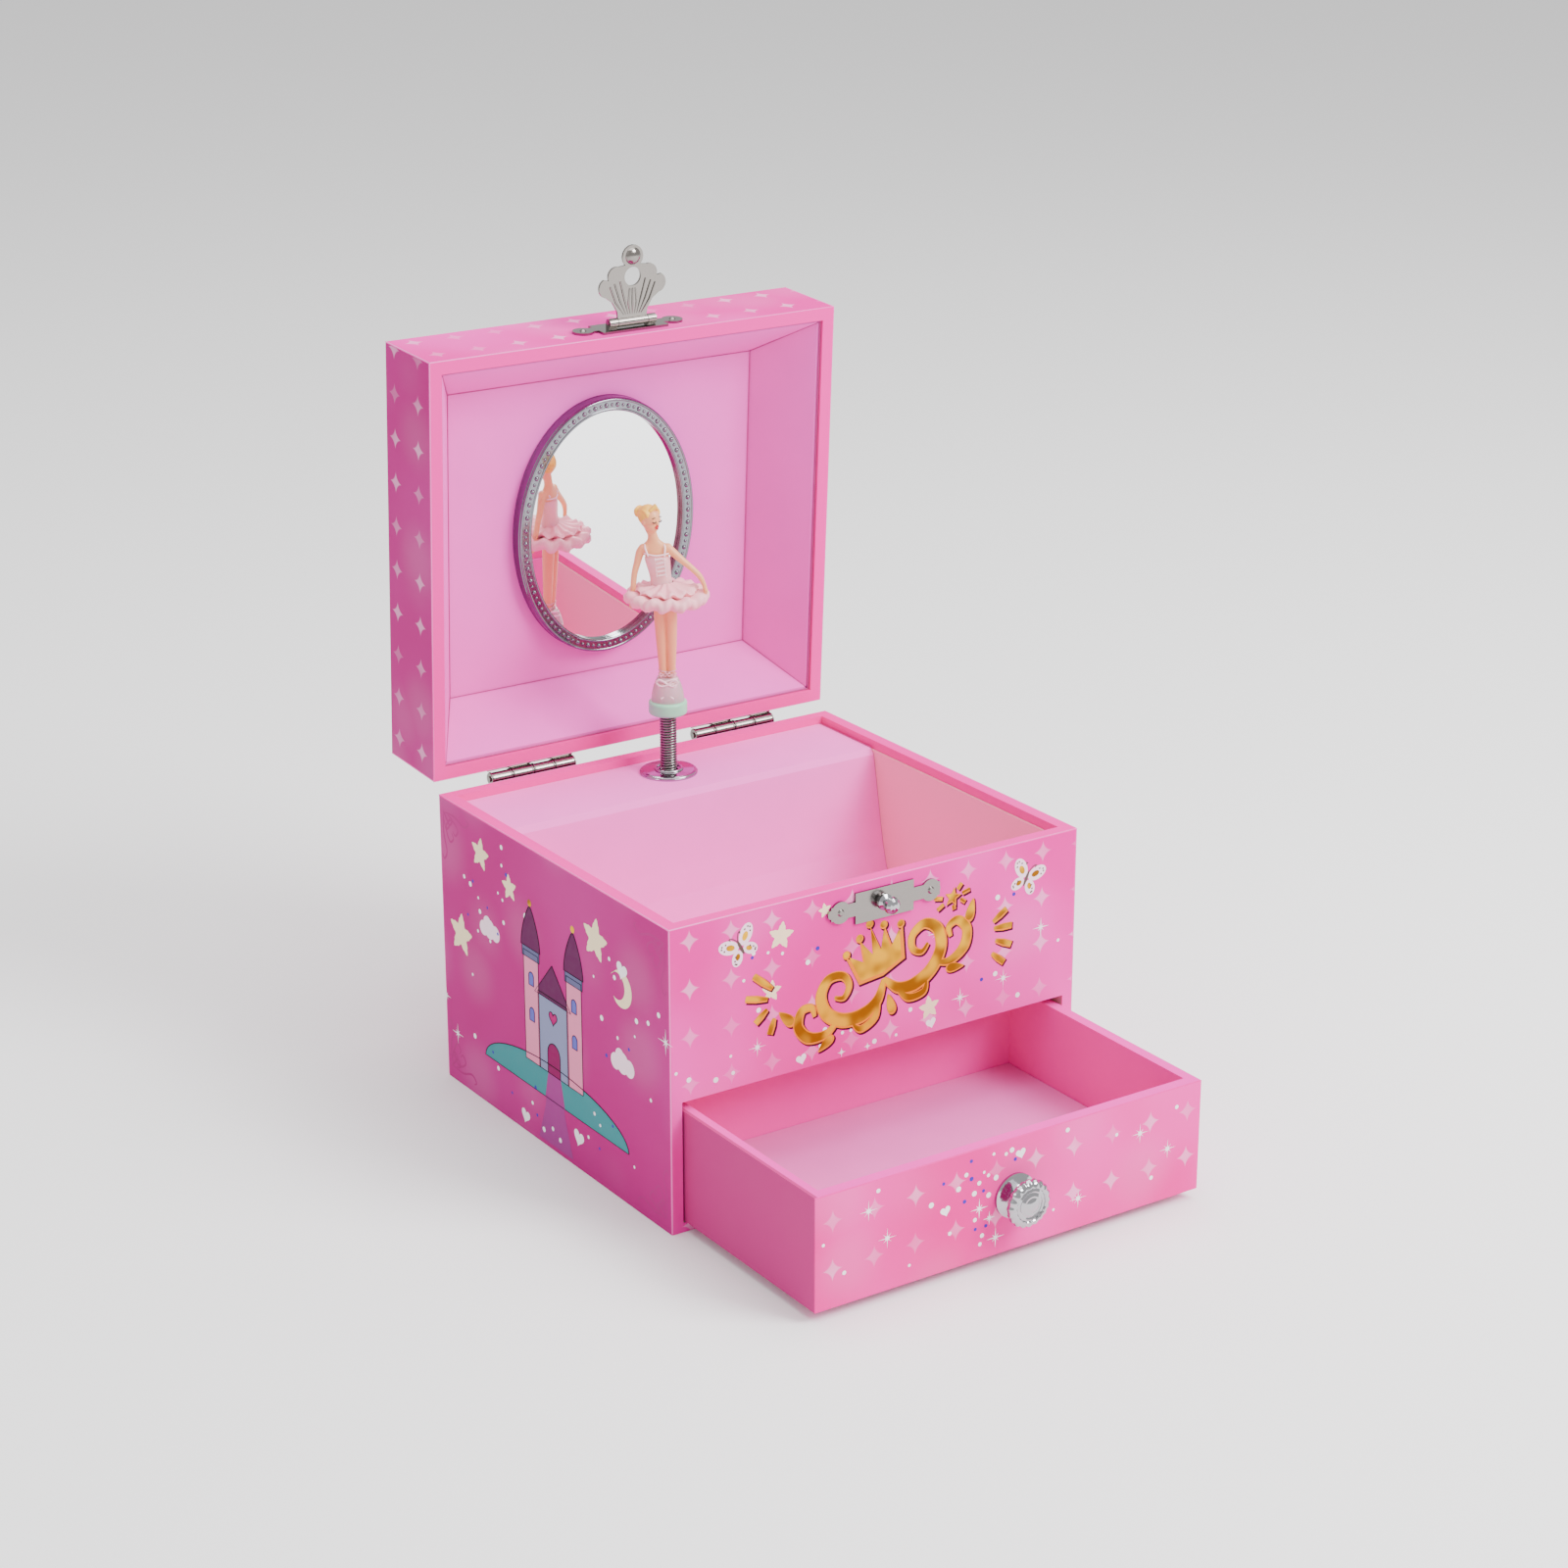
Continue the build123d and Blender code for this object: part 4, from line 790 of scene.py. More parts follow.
# ---- ballet shoes in the clear base ----
shoes = []
for side in (-1.3, 1.35):
    shoes.append(ball(across(side * 1.15, 30.6, 1.4), (1.35, 2.5, 1.5), 20, 14, (0, 0, facing)))
    shoes.append(ball(across(side, 32.6, 0.1), (1.45, 1.6, 1.9), 20, 14, (0, 0, facing)))
    for h in (33.6, 35.0):
        ring = [across(side * 1.02 + 1.5 * math.cos(a), h + 0.35 * math.sin(a + side), 0.1
                       + 1.65 * math.sin(a)) for a in
                turns(16)]
        shoes.append(tube(ring, [0.24] * 16, "ribbon", 8, True))
    for sway in (-1, 1):
        bow = smoothLine([across(side, 34.0, 1.7), across(side + sway * 1.0, 34.7, 2.0),
                          across(side + sway * 0.9, 33.5, 2.1), across(side, 34.0, 1.8)], 4)
        shoes.append(tube(bow, [0.2] * len(bow), "bow", 8))
slippers = fused(shoes, "dancerShoes", 0.16, 1)
named("dancerShoes", "dress")
bpy.ops.object.shade_smooth()
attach(slippers, "figure")
print("shoes done")

# ---- mirror frame: raised lips and a row of beads ----
oval = {"outer": (32.6, 42.7), "inner": (29.4, 39.6), "foot": (33.0, 43.1), "beads": (31.0, 41.15),
        "face": 116.0}


def ovalTube(half, z, radius, name):
    line = [swung(half[0] * math.cos(a), half[1] * math.sin(a), z) for a in turns(160)]
    return tube(line, [radius] * 160, name, 8, True)


frameParts = [
    ovalTube(oval["outer"], oval["face"] + 0.35, 0.55, "lip"),
    ovalTube(oval["inner"], oval["face"] + 0.3, 0.5, "lip"),
    ovalTube(oval["foot"], 120.1, 0.45, "foot"),
]
lipRing = joined(frameParts, "mirrorLips")
named("mirrorLips", "silver", 60)
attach(lipRing, "lid")
beads = []
total = 104
for k in range(total):
    a = 2 * math.pi * (k + 0.5) / total
    # even spacing along the oval, near enough
    a -= 0.065 * math.sin(2 * a)
    place = swung(oval["beads"][0] * math.cos(a), oval["beads"][1] * math.sin(a), oval["face"] + 0.15)
    beads.append(ball(place, 0.82 if k % 2 else 0.6, 10, 7))
beadRing = joined(beads, "mirrorBeads")
named("mirrorBeads", "silver", 80)
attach(beadRing, "lid")
print("mirror done")

# ---- drawer knob: a fluted button on a waisted neck with a turned centre ----
knob = {"z": 21.0, "petals": 20}
# radius, distance out from the drawer, depth of the flutes
rings = [(7.0, 0.0, 0), (7.0, 0.8, 0), (6.2, 1.3, 0), (4.4, 1.9, 0), (3.3, 3.0, 0), (3.2, 4.2, 0),
         (4.2, 5.2, 0), (6.6, 5.7, 0.05),
         (7.55, 6.2, 0.3), (7.6, 7.0, 0.38), (7.3, 7.7, 0.4), (6.6, 8.3, 0.4), (5.6, 8.5, 0.3), (5.1, 8.2,
             0.05), (4.4, 8.5, 0),
         (3.9, 8.3, 0), (3.0, 8.8, 0), (2.4, 8.7, 0), (1.5, 9.2, 0), (0.6, 9.35, 0), (0.05, 9.38, 0)]
button = stacked(rings, 160)
for vert in button.data.vertices:
    radius, out, flute = rings[round(vert.co.z)]
    a = math.atan2(vert.co.y, vert.co.x)
    r = radius - flute * (0.5 - 0.5 * math.cos(knob["petals"] * a)) ** 0.7
    vert.co = Vector((r * math.cos(a) * mm, (-halfDepth - pulled - out) * mm,
                      (knob["z"] + r * math.sin(a)) * mm))
pick(button)
bpy.ops.object.mode_set(mode="EDIT")
bpy.ops.mesh.select_all(action="SELECT")
bpy.ops.mesh.normals_make_consistent(inside=False)
bpy.ops.object.mode_set(mode="OBJECT")
named("drawerKnob", "chrome", 35)
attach(button, "drawer")
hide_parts("drawer_knob")
print("knob done")

# ---- hasp leaf: a ribbed shell with a domed lift at the tip ----
hasp = {"x": 1.0, "y": -71.6, "z": 104.6}


def onHasp(u, v, lift):
    # u across, v out from the pin, lift through the leaf
    return swung(hasp["x"] + u, hasp["y"] - v, hasp["z"] - 0.4 + lift)


edge = [(-5.2, 0.8), (-5.6, 3.6), (-7.4, 6.6), (-10.2, 8.6)]
for cx, cv, r, a0, a1 in ((-9.1, 11.4, 3.2, 250, 118), (-5.9, 14.9, 3.1, 200, 75), (0, 20.7, 3.8, 222, -42),
                          (5.9, 14.9, 3.1, 105, -20), (9.1, 11.4, 3.2, 62, -70)):
    for k in range(13):
        a = math.radians(a0 + (a1 - a0) * k / 12)
        edge.append((cx + r * math.cos(a), cv + r * math.sin(a)))
edge += [(10.2, 8.6), (7.4, 6.6), (5.6, 3.6), (5.2, 0.8)]
leaf = flat("haspLeaf", "nickel", [edge, roundLoop(0, 14.4, 3.0, 36)], onHasp, 0.0)
applied(leaf, "SOLIDIFY", thickness=0.8 * mm, offset=-1)
parts = [leaf]
for k in range(9):
    f = -1 + k / 4
    # the middle ribs stop short of the hole
    clear = abs(f) > 0.3
    reach = 15.0 - 3.2 * abs(f) if clear else 10.6
    spread = reach / 15 if clear else 0.4
    for face in (0.0, 0.8):
        rib = [onHasp(f * 3.2, 2.4, face), onHasp(f * 6.2, 0.55 * reach, face),
               onHasp(f * 10.6 * spread, reach, face)]
        parts.append(tube(rib, [0.12, 0.34, 0.3], "rib", 8))
parts.append(ball(onHasp(0, 20.9, 0.5), (2.9, 2.9, 1.7), 28, 18, (math.radians(-hinge["open"]), 0, 0)))
bpy.ops.mesh.primitive_cylinder_add(vertices=40, radius=1.5 * mm, depth=10.8 * mm,
                                    location=swung(hasp["x"], hasp["y"], hasp["z"]), rotation=(0,
                                        math.pi / 2, 0))
parts.append(settle(bpy.context.object))
shell = joined(parts, "haspLeaf")
named("haspLeaf", "nickel", 40)
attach(shell, "hasp")
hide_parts("hasp_leaf")
print("hasp done")

# ---- paper edges, painted edge highlights, hinge collars and shoe ribbons ----
def edgeLines(name, mat, body, runs, radius):
    made = joined([tube(run, [radius] * len(run), name, 4) for run in runs], name)
    named(name, mat)
    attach(made, body)


well = {"outer": (69.6, 63.6, 99.9), "inner": (56.9, 50.9, 120.2)}
square = ((-1, -1), (1, -1), (1, 1), (-1, 1), (-1, -1))
ring = {key: [swung(sx * w, sy * d, z) for sx, sy in square] for key, (w, d, z) in well.items()}
edgeLines("lidSeams", "seam", "lid", [ring["inner"]]
          + [[ring["outer"][k], ring["inner"][k]] for k in range(4)], 0.16)
rim = [swung(sx * 70.4, sy * 64.4, 99.4) for sx, sy in square]
edgeLines("lidRimSeam", "seam", "lid", [rim], 0.3)
corners = [(sx * halfWidth, sy * halfDepth) for sx, sy in square[:4]]
# thin lighter pink tubes along the outer edges and corners of the lid and the case: a painted highlight
edgeLines("lidEdgeHighlight", "glint", "lid", [[swung(x * 0.998, y * 0.998, 98.45) for x, y in corners + corners[:1]]]
          + [[swung(x * 0.997, y * 0.997, 98.6), swung(x * 0.997, y * 0.997, 127.0)]
             for x, y in corners], 0.22)
edgeLines("caseEdgeHighlight", "glint", "case", [[Vector((x * 0.998, y * 0.998, 97.85)) * mm
    for x, y in corners + corners[:1]]]
          + [[Vector((x * 0.997, y * 0.997, 0.4)) * mm, Vector((x * 0.997, y * 0.997, 97.7)) * mm]
             for x, y in corners], 0.22)
traySeam = [Vector((x, y, z)) * mm for x, y, z in ((-70.9, 65, 96.6), (-70.9, -64.9, 96.6),
    (70.9, -64.9, 96.6), (70.9, 65, 96.6))]
edgeLines("traySeam", "seam", "case", [traySeam] + [[Vector((x, -63.9, 46.6)) * mm,
    Vector((x, -63.9, 95.2)) * mm] for x in (-69.9, 69.9)]
          + [[Vector((-69.9, -63.9, 46.5)) * mm, Vector((69.9, -63.9, 46.5)) * mm]]
          + [[Vector((x, 34.6, 95.5)) * mm, Vector((x, 64.5, 95.5)) * mm] for x in (-69.8, 69.8)], 0.22)
collars = {"case": [], "lid": []}
for middle in (-39.0, 39.0):
    for k in range(4):
        x0 = middle - 15.75 + k * 7.875
        for x in (x0 + 0.45, x0 + 7.4):
            loop = [Vector((x * mm, (hinge["y"] + 2.0 * math.cos(a)) * mm,
                            (hinge["z"] + 2.0 * math.sin(a)) * mm)) for a in turns(24)]
            collars["lid" if k % 2 else "case"].append(tube(loop, [0.28] * 24, "collar", 6, True))
for body, made in collars.items():
    joined(made, body + "HingeCollars")
    named(body + "HingeCollars", "nickel", 60)
    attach(bpy.context.object, body)
bows = []
for height, r in ((30.9, 1.16), (32.2, 1.0)):
    bows.append(tube([across(3.2 * r * math.cos(a), height + 0.45 * math.sin(2 * a), 3.1 * r * math.sin(a))
                      for a in turns(26)],
                     [0.34] * 26, "ankle", 8, True))
for side in (-1, 1):
    bows.append(tube(smoothLine([across(0.3, 31.2, 3.7), across(side * 2.4, 32.8, 3.5),
        across(side * 3.4, 31.6, 3.1), across(side * 1.8, 30.6, 3.7),
                                 across(0.3, 31.2, 3.7)], 5), [0.34] * 21, "bow", 8))
    bows.append(tube(smoothLine([across(side * 3.0, 30.6, 2.6), across(side * 0.9, 28.8, 4.1),
        across(-side * 2.0, 26.6, 4.5)], 6), [0.36] * 13, "lace", 8))
joined(bows, "shoeRibbons")
named("shoeRibbons", "ribbon", 70)
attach(bpy.context.object, "figure")
grommetRings = []
for r, up, wire in ((4.3, 1.35, 0.55), (8.9, 0.62, 0.42)):
    loop = [Vector(((figure["x"] + r * math.cos(a)) * mm, (figure["y"] + r * math.sin(a)) * mm,
                    (figure["shelf"] + up) * mm)) for a in turns(48)]
    grommetRings.append(tube(loop, [wire] * 48, "grommetRing", 12, True))
joined(grommetRings, "grommetRings")
named("grommetRings", "chrome", 60)
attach(bpy.context.object, "case")
print("edges done")

# ---- printed ornaments ----
# gold ticks either side, and round the small star: start and end of each
ticks = {
    "left": [(-45.7, 76.7, -39.1, 71.2), (-48.6, 70.0, -40.8, 68.2), (-45.2, 61.4, -40.9, 65.0),
             (-40.1, 56.6, -38.4, 61.5)],
    "right": [(47.9, 77.2, 42.7, 73.9), (50.1, 71.3, 43.1, 71.6), (50.0, 64.9, 43.8, 67.5),
              (47.3, 59.4, 42.5, 63.4)],
    "burst": [(20.0, 86.6, 23.2, 86.0), (21.2, 82.6, 23.6, 84.0), (27.6, 81.4, 27.3, 83.0),
              (30.4, 89.6, 28.8, 87.8),
              (33.5, 86.9, 30.6, 86.2), (31.8, 83.0, 30.0, 84.4)],
}
# strokes of a scroll, with widths, and a crown; u runs along the slanted baseline, v across it
scroll = [
    ([(0, -2), (4, -7.4), (10, -9.4), (17, -7.6), (22, -2.4), (22.4, 4), (18.4, 8), (13.4, 6.6), (12.2, 2.4),
      (15, -0.4), (18, 1.2)],
     [1.2, 3.4, 4.6, 4.4, 4.0, 3.6, 3.0, 2.4, 2.0, 1.6, 0.8]),
    ([(18.4, -6.2), (24, -8.6), (30, -6.6), (32.4, -1.4), (30, 3), (26.4, 2.4), (26.2, -1)],
     [0.8, 2.6, 3.6, 3.2, 2.6, 2.0, 0.8]),
    ([(3.4, -7.0), (6.4, -12.4), (12, -13.6), (14.2, -10.8)], [0.8, 2.4, 2.2, 0.8]),
]
crown = [(-8.4, 1.0), (-10.4, 11.4), (-5.4, 6.6), (-4.6, 14.0), (-1.6, 7.6), (0, 16.6), (1.6, 7.6),
         (4.6, 14.0), (5.4, 6.6), (10.4, 11.4), (8.4, 1.0), (0, -0.4)]
middle, lean = (1.0, 66.6), math.radians(16.0)


def slanted(u, v):
    return (middle[0] + u * math.cos(lean) - v * math.sin(lean), middle[1] + u * math.sin(lean)
            + v * math.cos(lean))


swash = [([slanted(side * u, v) for u, v in line], widths) for side in (1, -1) for line, widths in scroll]
sprigs = ((0, -11.2, 3.4, 90), (35.4, 3.6, 3.6, 60), (-35.4, 3.6, 3.6, 120), (25, -11.6, 3.2, -20),
          (-25, -11.6, 3.2, 200))
leafs = [(*slanted(u, v), size, math.degrees(lean) + turn) for u, v, size, turn in sprigs]


def leafLoop(u, v, size, turn):
    out = []
    for a in turns(24):
        lx, ly = size * math.cos(a), 0.42 * size * math.sin(a) * (1 - 0.5 * math.cos(a))
        c, s = math.cos(math.radians(turn)), math.sin(math.radians(turn))
        out.append((u + lx * c - ly * s, v + lx * s + ly * c))
    return out


def goldLoops(grow, du=0.0, dv=0.0, scale=1.0):
    loops = []
    for line, widths in swash:
        loops.append(stroke([(u + du, v + dv) for u, v in line], [w * scale + grow for w in widths]))
    cu, cv = slanted(0, 7)
    spread = scale * (1 + grow * 0.09)
    loops.append([(cu + (u - cu) * spread + du, cv + (v - cv) * spread + dv)
                  for u, v in [slanted(*p) for p in crown]])
    for u, v in ((-10.4, 12.4), (-4.6, 15.2), (0, 18.0), (4.6, 15.2), (10.4, 12.4)):
        a, b = slanted(u, v)
        loops.append(roundLoop(a + du, b + dv, 1.15 * scale + grow * 0.5))
    for u, v, size, turn in leafs:
        loops.append(leafLoop(u + du, v + dv, size * scale + grow * 0.6, turn))
    for group, widths, steps in (("left", (1.7, 1.9, 0.9), 3), ("right", (1.7, 1.9, 0.9), 3),
        ("burst", (0.9,) * 3, 2)):
        for u0, v0, u1, v1 in ticks[group]:
            line = [(u0 + du, v0 + dv), ((u0 + u1) / 2 + du, (v0 + v1) / 2 + dv), (u1 + du, v1 + dv)]
            loops.append(stroke(line, [w * scale + grow for w in widths], steps))
    loops.append([(u + du, v + dv) for u, v in starLoop(27.0, 85.6, 2.8 * scale + grow, 1.25
        + grow * 0.5, 5, 78)])
    return loops


def printed(name, ink, loops, place, lift, body):
    # each outline is filled on its own, so that crossing outlines stay solid
    made = [flat(name, ink, [loop], place, lift + 0.0005 * i) for i, loop in enumerate(loops)]
    obj = joined(made, name)
    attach(obj, body)
    return obj


printed("goldShade", "umber", goldLoops(0.9, 0.45, -0.5), onFront, 0.02, "case")
printed("goldEdge", "amber", goldLoops(0.55), onFront, 0.04, "case")
printed("goldFace", "gold", goldLoops(-0.2, -0.1, 0.12, 0.94), onFront, 0.06, "case")

frontDots = [(68.6, 61.9), (-40.6, 83.1), (-45.7, 84.0), (-49.2, 76.2), (-53.9, 53.1), (-53.1, 47.5),
             (-59.2, 46.8), (-68.6, 49.2),
             (-20.1, 53.3), (-21.9, 48.4), (-20.5, 47.9), (-13.7, 50.7), (-10.6, 50.7), (6.3, 45.0), (-73.0,
                 52.3), (44.3, 81.7),
             (44.0, 56.3), (-1.8, 44.9), (-26.4, 76.7), (-35.5, 81.7), (-27.7, 54.2), (11.6, 52.1), (-44.0,
                 65.5), (53.0, 47.0)]
frontInk = [(-22.9, 80.4), (-46.2, 82.8), (50.6, 81.4), (38.7, 55.6)]
drawerDots = [(-48.7, 35.9), (-67.5, 24.1), (-60.3, 13.4), (-37.5, 9.0), (-30.0, 26.0), (-20.3, 28.4),
              (-17.6, 32.2), (-9.6, 29.9),
              (-6.8, 28.4), (-12.9, 28.3), (-14.6, 25.4), (-9.4, 23.5), (-14.2, 16.8), (-23.2, 15.0), (-11.5,
                  11.0), (-12.2, 8.4),
              (-7.8, 36.2), (-3.3, 35.0), (-1.2, 35.7), (14.8, 11.9), (-11.2, 31.3), (19.3, 36.6), (38.0,
                  30.0), (52.0, 12.0), (61.0, 33.0)]
drawerInk = [(-15.9, 36.1), (-15.7, 30.4), (-25.7, 31.6), (0.1, 32.4), (-11.3, 25.4), (-18.1, 23.8),
             (-14.0, 13.7), (-10.2, 13.8)]
leftDots = [(28.8, 92.6), (29.0, 86.5), (53.6, 74.9), (49.7, 73.6), (44.7, 70.5), (31.8, 76.4), (29.0, 74.9),
            (43.9, 66.1), (28.7, 67.4),
            (45.6, 58.9), (37.7, 58.0), (50.1, 42.3), (-35.4, 77.5), (-26.1, 68.6), (-38.3, 72.5), (-63.0,
                69.3), (-50.5, 62.8),
            (-57.1, 64.6), (-30.4, 56.5), (-49.4, 57.4), (-39.5, 53.3), (49.9, 20.8), (34.9, 15.1), (-25.0,
                22.7), (6.4, 4.9),
            (0.8, 7.3), (-3.7, 5.1), (-21.1, 13.2), (-28.3, 20.0), (13.3, 11.4), (-48.0, 14.0), (-58.0, 40.0)]
leftInk = [(26.2, 84.3), (48.0, 75.1), (39.0, 69.0), (51.9, 62.4), (32.7, 62.2), (-32.8, 45.1),
           (-45.9, 51.9), (38.2, 19.5),
           (26.3, 9.8), (11.1, 17.5), (10.5, 8.2), (-35.7, 22.7), (-27.6, 11.9)]
random.seed(4)
for tag, dots, inks, place, body in (("front", frontDots, frontInk, onFront, "case"),
    ("drawer", drawerDots, drawerInk, onDrawer, "drawer"),
                                     ("left", leftDots, leftInk, onLeft, "case")):
    printed(tag + "Dots", "white", [roundLoop(u, v, random.uniform(0.45, 0.95)) for u, v in dots], place,
            0.03, body)
    printed(tag + "Ink", "ink", [roundLoop(u, v, random.uniform(0.5, 0.72)) for u, v in inks], place, 0.03,
            body)
for tag, places, hearts, place, body in (
    ("front", [(61.5, 67.9, 3.4), (30.5, 51.5, 3.6), (-4.4, 43.9, 1.3), (-14.0, 44.3, 1.6)],
     [(19.5, 45.8, 2.0), (-28.7, 45.8, 2.0)], onFront, "case"),
    ("drawer", [(-12.7, 20.0, 3.4), (-6.6, 9.0, 3.4), (-9.0, 16.0, 2.4)],
     [(2.1, 33.8, 1.9), (-24.9, 22.7, 1.9)], onDrawer, "drawer"),
    ("left", [(68.6, 28.5, 3.4), (61.6, 17.4, 3.8), (-66.7, 61.9, 4.4)],
     [(13.6, 73.3, 2.6), (-42.5, 76.2, 3.2), (17.9, 5.2, 2.8), (-15.2, 10.6, 3.2)], onLeft, "case"),
):
    loops = [starLoop(u, v, r, 0.32, 4) for u, v, r in places] + [starLoop(u, v, r * 0.5, 0.3, 4, 45)
        for u, v, r in places]
    loops += [heartLoop(u, v, r, 12) for u, v, r in hearts]
    printed(tag + "Sparkles", "white", loops, place, 0.032, body)
for tag, spots, place, body in (("front", [(47.2, 54.1), (-44.5, 53.6), (21.0, 75.1)], onFront, "case"),
                                ("drawer", [(-52.0, 30.4), (-45.4, 20.0), (24.0, 13.0), (47.0, 28.0),
                                            (58.0, 20.0)], onDrawer, "drawer")):
    loops = [starLoop(u, v, 3.4, 0.22, 4) for u, v in spots] + [starLoop(u, v, 2.1, 0.2, 4, 45)
        for u, v in spots] + [roundLoop(u, v, 0.75) for u, v in spots]
    printed(tag + "Glows", "white", loops, place, 0.028, body)
printed("creamFront", "cream", [softStar(-36.0, 87.4, 4.6, 80), softStar(-20.3, 92.0, 2.4, 100),
    softStar(18.7, 51.1, 4.0, 96),
                                softStar(-39.4, 70.5, 3.6, 84)], onFront, 0.015, "case")
printed("creamLeft", "cream", [softStar(42.7, 86.0, 5.6, 98), softStar(24.5, 80.5, 4.6, 84),
    softStar(57.0, 53.9, 7.4, 96),
                               softStar(-27.3, 80.9, 7.2, 98)], onLeft, 0.015, "case")


def butterfly(tag, u, v, size, turn, place, body):
    c, s = math.cos(math.radians(turn)), math.sin(math.radians(turn))

    def spot(loop):
        return [(u + size * (a * c - b * s), v + size * (a * s + b * c)) for a, b in loop]

    wings, hearts, spots = [], [], []
    for side in (-1, 1):
        for cu, cv, ru, rv, tilt in ((0.55, 0.42, 0.58, 0.36, 40), (0.42, -0.38, 0.42, 0.3, -48)):
            ct, st = math.cos(math.radians(tilt)), math.sin(math.radians(tilt))
            for target, k in ((wings, 1.0), (hearts, 0.42)):
                pull = 0.85 if k < 1 else 1
                target.append(spot([(side * (cu * pull + k * (ru * math.cos(a) * ct - rv * math.sin(a) * st)),
                                     cv * pull + k * (ru * math.cos(a) * st + rv * math.sin(a) * ct))
                                    for a in turns(20)]))
            for a in (-40, 0, 40, 80):
                spotU = side * (cu + 0.8 * ru * math.cos(math.radians(a)) * ct)
                spots.append(spot(roundLoop(spotU, cv
                    + 0.8 * rv * math.sin(math.radians(a + tilt)), 0.05, 8)))
    printed(tag + "Wings", "wing", wings, place, 0.03, body)
    printed(tag + "Hearts", "gold", hearts, place, 0.045, body)
    bodyLoop = spot([(0.09 * math.sin(a), 0.42 * math.cos(a)) for a in turns(16)])
    feelers = [stroke(spot([(0, 0.35), (q * 0.18, 0.7), (q * 0.34, 0.78), (q * 0.3, 0.66)]),
                      [0.3, 0.3, 0.3, 0.35], 4) for q in (-1, 1)]
    printed(tag + "Body", "lash", [bodyLoop] + feelers + spots, place, 0.055, body)


butterfly("flyRight", 55.3, 85.6, 6.2, -24, onFront, "case")
butterfly("flyLeft", -50.2, 87.0, 6.2, 28, onFront, "case")
print("front prints done")

# a simple castle on a hill, mirrored about its middle, in (y, z)
castleMid, castleFoot = -1.0, 26.0


def mirroredLoop(half):
    # half an outline from top to bottom, closed by its mirror image
    return [(castleMid + u, castleFoot + v) for u, v in half] + [(castleMid - u, castleFoot + v)
        for u, v in half[::-1]]


def arch(u, v, wide, tall):
    top = [(u + wide * math.cos(a), v + tall + wide * math.sin(a)) for a in halfTurn(10)]
    return [(castleMid + a, castleFoot + b) for a, b in top + [(u - wide, v), (u + wide, v)]]


def cloud(u, v, size):
    return [roundLoop(u + du * size, v + dv * size, r * size, 20)
            for du, dv, r in ((0, 0, 1.0), (1.1, -0.2, 0.75), (-1.1, -0.15, 0.8), (0.4, 0.5, 0.7))]


castle = [
    ("path", mirroredLoop([(0.1, 1.5), (4, 0), (6.0, -12), (10.5, -24.5)])),
    ("teal", [(castleMid + 44 * math.cos(a), castleFoot - 9 + 12 * math.sin(a)) for a in halfTurn(24)]),
    ("path", mirroredLoop([(0.1, 3.0), (3.6, 1.0), (4.6, -3.0), (6.0, -9.0)])),
    ("stone", mirroredLoop([(0.1, 26), (9, 26), (9, 0)])),
    ("roof", mirroredLoop([(0.1, 37), (11, 25)])),
]
for side in (-1, 1):
    castle.append(("tower", [(castleMid + side * u, castleFoot + v)
        for u, v in ((8.5, 0), (8.5, 37), (17.5, 37), (17.5, 0))]))
    castle.append(("shade", [(castleMid + side * u, castleFoot + v)
        for u, v in ((7.8, 35), (7.8, 38.4), (18.2, 38.4), (18.2, 35))]))
    castle.append(("roof", [(castleMid + side * 13
        + 5.8 * math.cos(a) * (1 - 0.45 * math.sin(a) ** 3), castleFoot + 38.4 + 14 * math.sin(a) ** 1.3)
                            for a in halfTurn(20)]))
    castle.append(("gold", [(castleMid + side * 13 + a, castleFoot + b) for a, b in roundLoop(0, 53.6, 1.2)]))
    castle += [("window", arch(side * 13, 26, 1.5, 3.0)), ("window", arch(side * 13, 14, 1.5, 3.0))]
castle += [("door", arch(0, 0, 3.8, 7.0)), ("mag", heartLoop(castleMid, castleFoot + 19.5, 2.6))]
outlines = []
for i, (ink, loop) in enumerate(castle):
    printed("castle" + ink.title(), ink, [loop], onLeft, 0.02 + 0.0015 * i, "case")
    if ink not in ("path", "gold"):
        outlines.append(tube([onLeft(u, v, 0.02) for u, v in loop], [0.16] * len(loop), "outline", 4, True))
lines = joined(outlines, "castleLines")
named("castleLines", "line")
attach(lines, "case")
printed("clouds", "wing", cloud(38, 62, 3.4) + cloud(-42, 46, 3.6), onLeft, 0.02, "case")
moon = [(-42 + 6 * math.cos(a), 70 + 6 * math.sin(a))
        for a in [math.radians(40 + 260 * k / 20) for k in range(21)]]
moon += [(-39.6 + 4.4 * math.cos(a), 70.3 + 4.4 * math.sin(a))
         for a in [math.radians(300 - 260 * k / 20) for k in range(21)]]
printed("moon", "cream", [moon], onLeft, 0.02, "case")


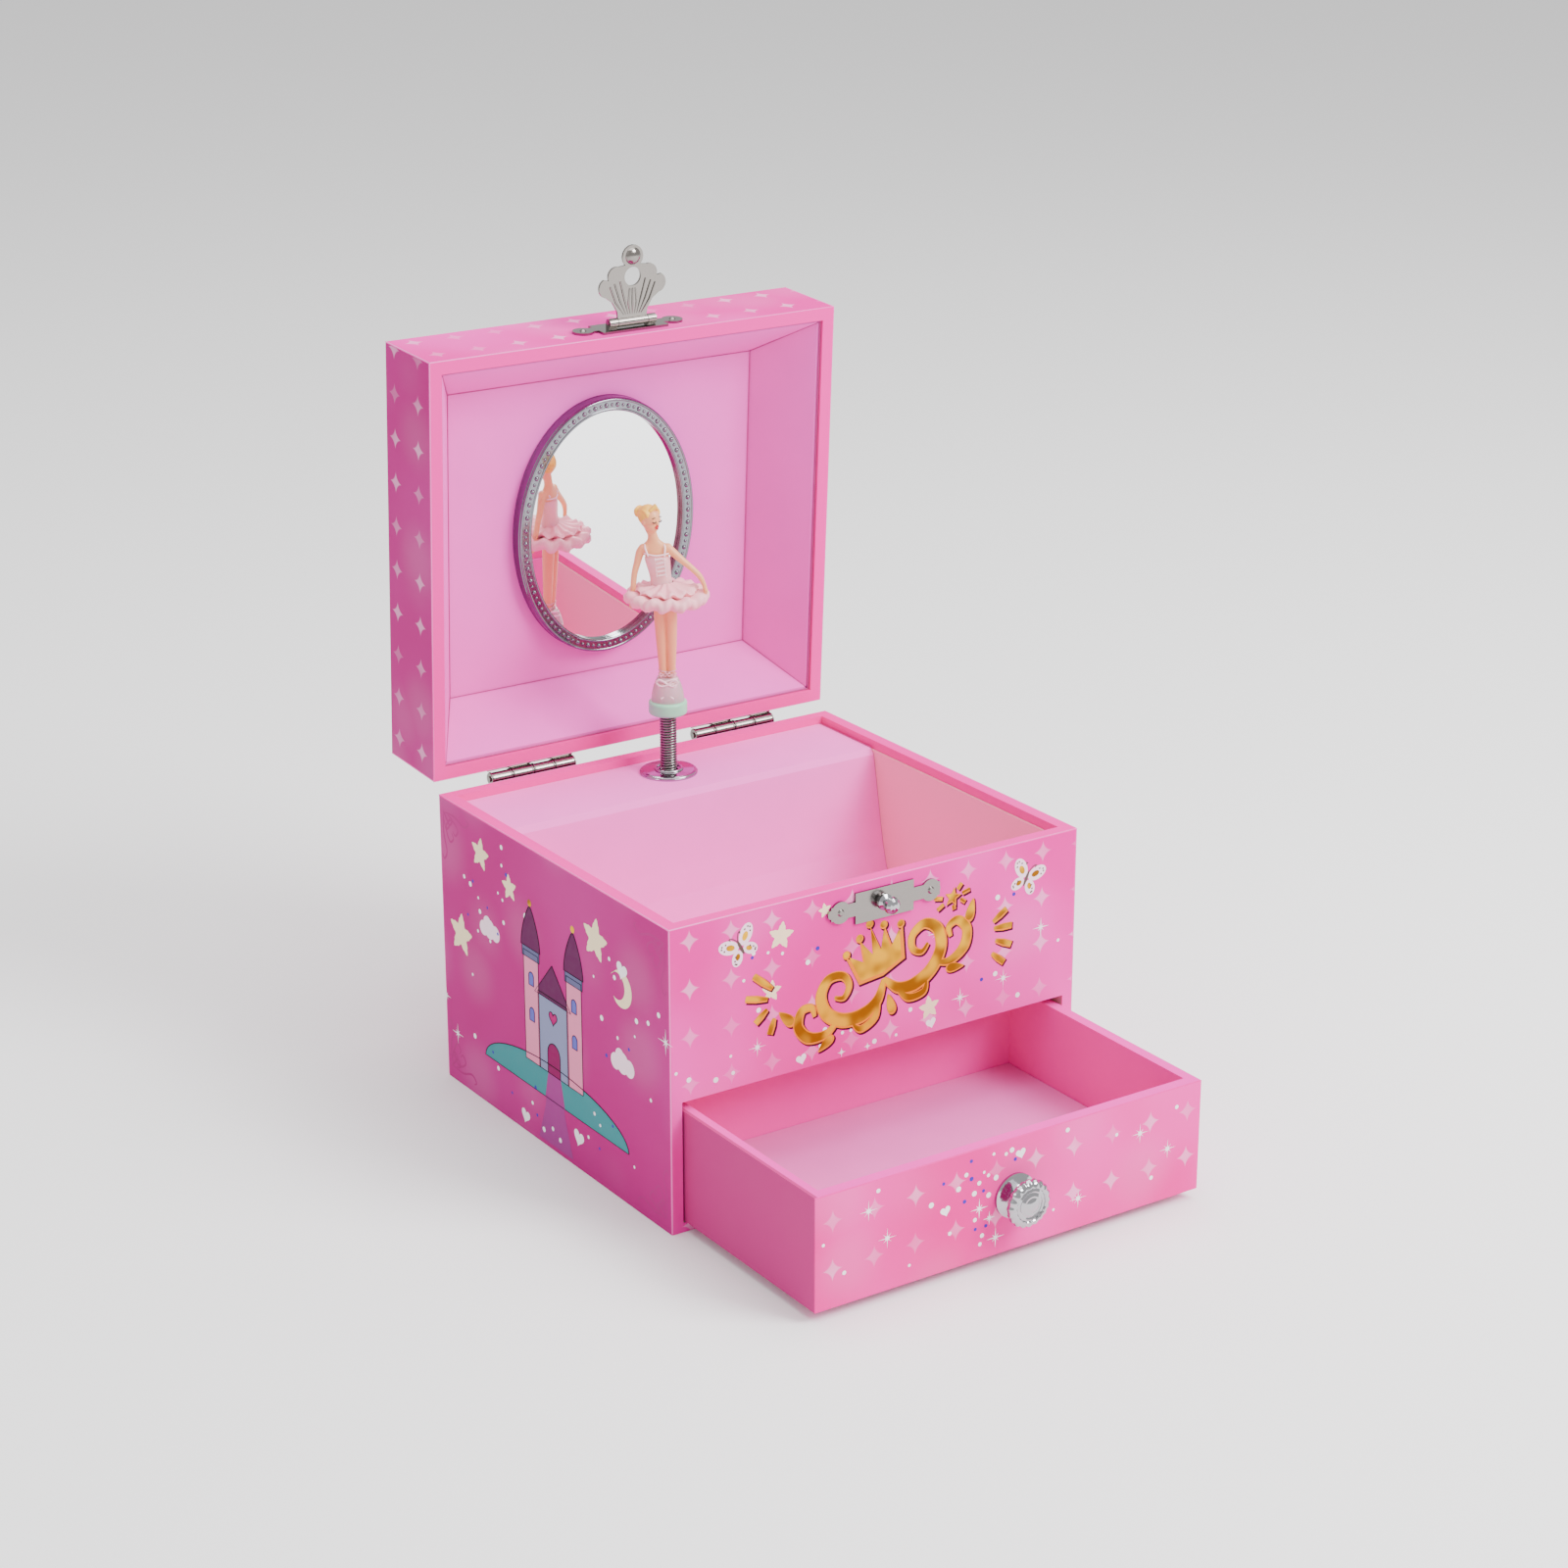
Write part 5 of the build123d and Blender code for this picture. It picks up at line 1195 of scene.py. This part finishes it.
def filigree(u, v, su, sv):
    # curled corner ornament; su and sv point into the panel
    arms = []
    for swap in (0, 1):
        for line in ([(2, 2), (9, 1.6), (15, 3.4), (18, 1.6), (16.6, 0.4)],
                     [(3, 6), (7, 3.4), (11, 5.6), (9.4, 8.0), (7.6, 6.8)],
                     [(1.6, 1.6), (5.4, 5.4), (7.4, 3.2), (4.6, 2.2)]):
            pts = [(b, a) if swap else (a, b) for a, b in line]
            arms.append(stroke([(u + su * a, v + sv * b) for a, b in pts], [0.3] + [0.75] * (len(pts) - 2)
                               + [0.3], 5))
    return arms


printed("filigree", "filigree", filigree(68, 95, -1, -1) + filigree(-68, 95, 1, -1)
        + filigree(68, 2.5, -1, 1) + filigree(-68, 2.5, 1, 1),
        onLeft, 0.012, "case")
print("side prints done")

# ---- floor, light and camera ----
bpy.ops.mesh.primitive_plane_add(size=16, location=(0, 0, -0.00005))
floorPlane = bpy.context.object
floorPlane.name = "studioFloor"
floorPlane.data.materials.append(newMat("studio white", (0.97, 0.97, 0.97), 0.9, Specular_IOR_Level=0.0))
world = bpy.data.worlds.new("studio")
bpy.context.scene.world = world
world.use_nodes = True
world.node_tree.nodes["Background"].inputs[0].default_value = (1, 0.99, 0.995, 1)
world.node_tree.nodes["Background"].inputs[1].default_value = 0.88
lights = {
    "overheadLight": ((0.15, -0.1, 1.5), 1.4, 25.0),
    "keyLight": ((0.6, -0.9, 0.95), 0.6, 24.0),
    "fillLight": ((-0.9, -0.5, 0.8), 0.8, 0.6),
}
for name, (place, size, power) in lights.items():
    light = bpy.data.lights.new(name, "AREA")
    light.size = size
    light.energy = power
    lamp = bpy.data.objects.new(name, light)
    lamp.location = place
    lamp.rotation_euler = (Vector((0, 0, 0.09)) - Vector(place)).to_track_quat("-Z", "Y").to_euler()
    bpy.context.scene.collection.objects.link(lamp)
view = {"azimuth": -33.954, "elevation": 19.853, "distance": 1.07301, "lens": 77.74}
az, el = math.radians(view["azimuth"]), math.radians(view["elevation"])
back = Vector((math.sin(az) * math.cos(el), -math.cos(az) * math.cos(el), math.sin(el)))
right = Vector((math.cos(az), math.sin(az), 0))
up = back.cross(right)
lens = bpy.data.cameras.new("camera")
lens.lens = view["lens"]
lens.sensor_width = 36
lens.clip_end = 20
camera = bpy.data.objects.new("camera", lens)
camera.location = Vector((0, 0, 0.08)) + back * view["distance"] + right * 0.009557 + up * 0.025445
camera.rotation_euler = Matrix((right, up, back)).transposed().to_euler()
bpy.context.scene.collection.objects.link(camera)
bpy.context.scene.camera = camera
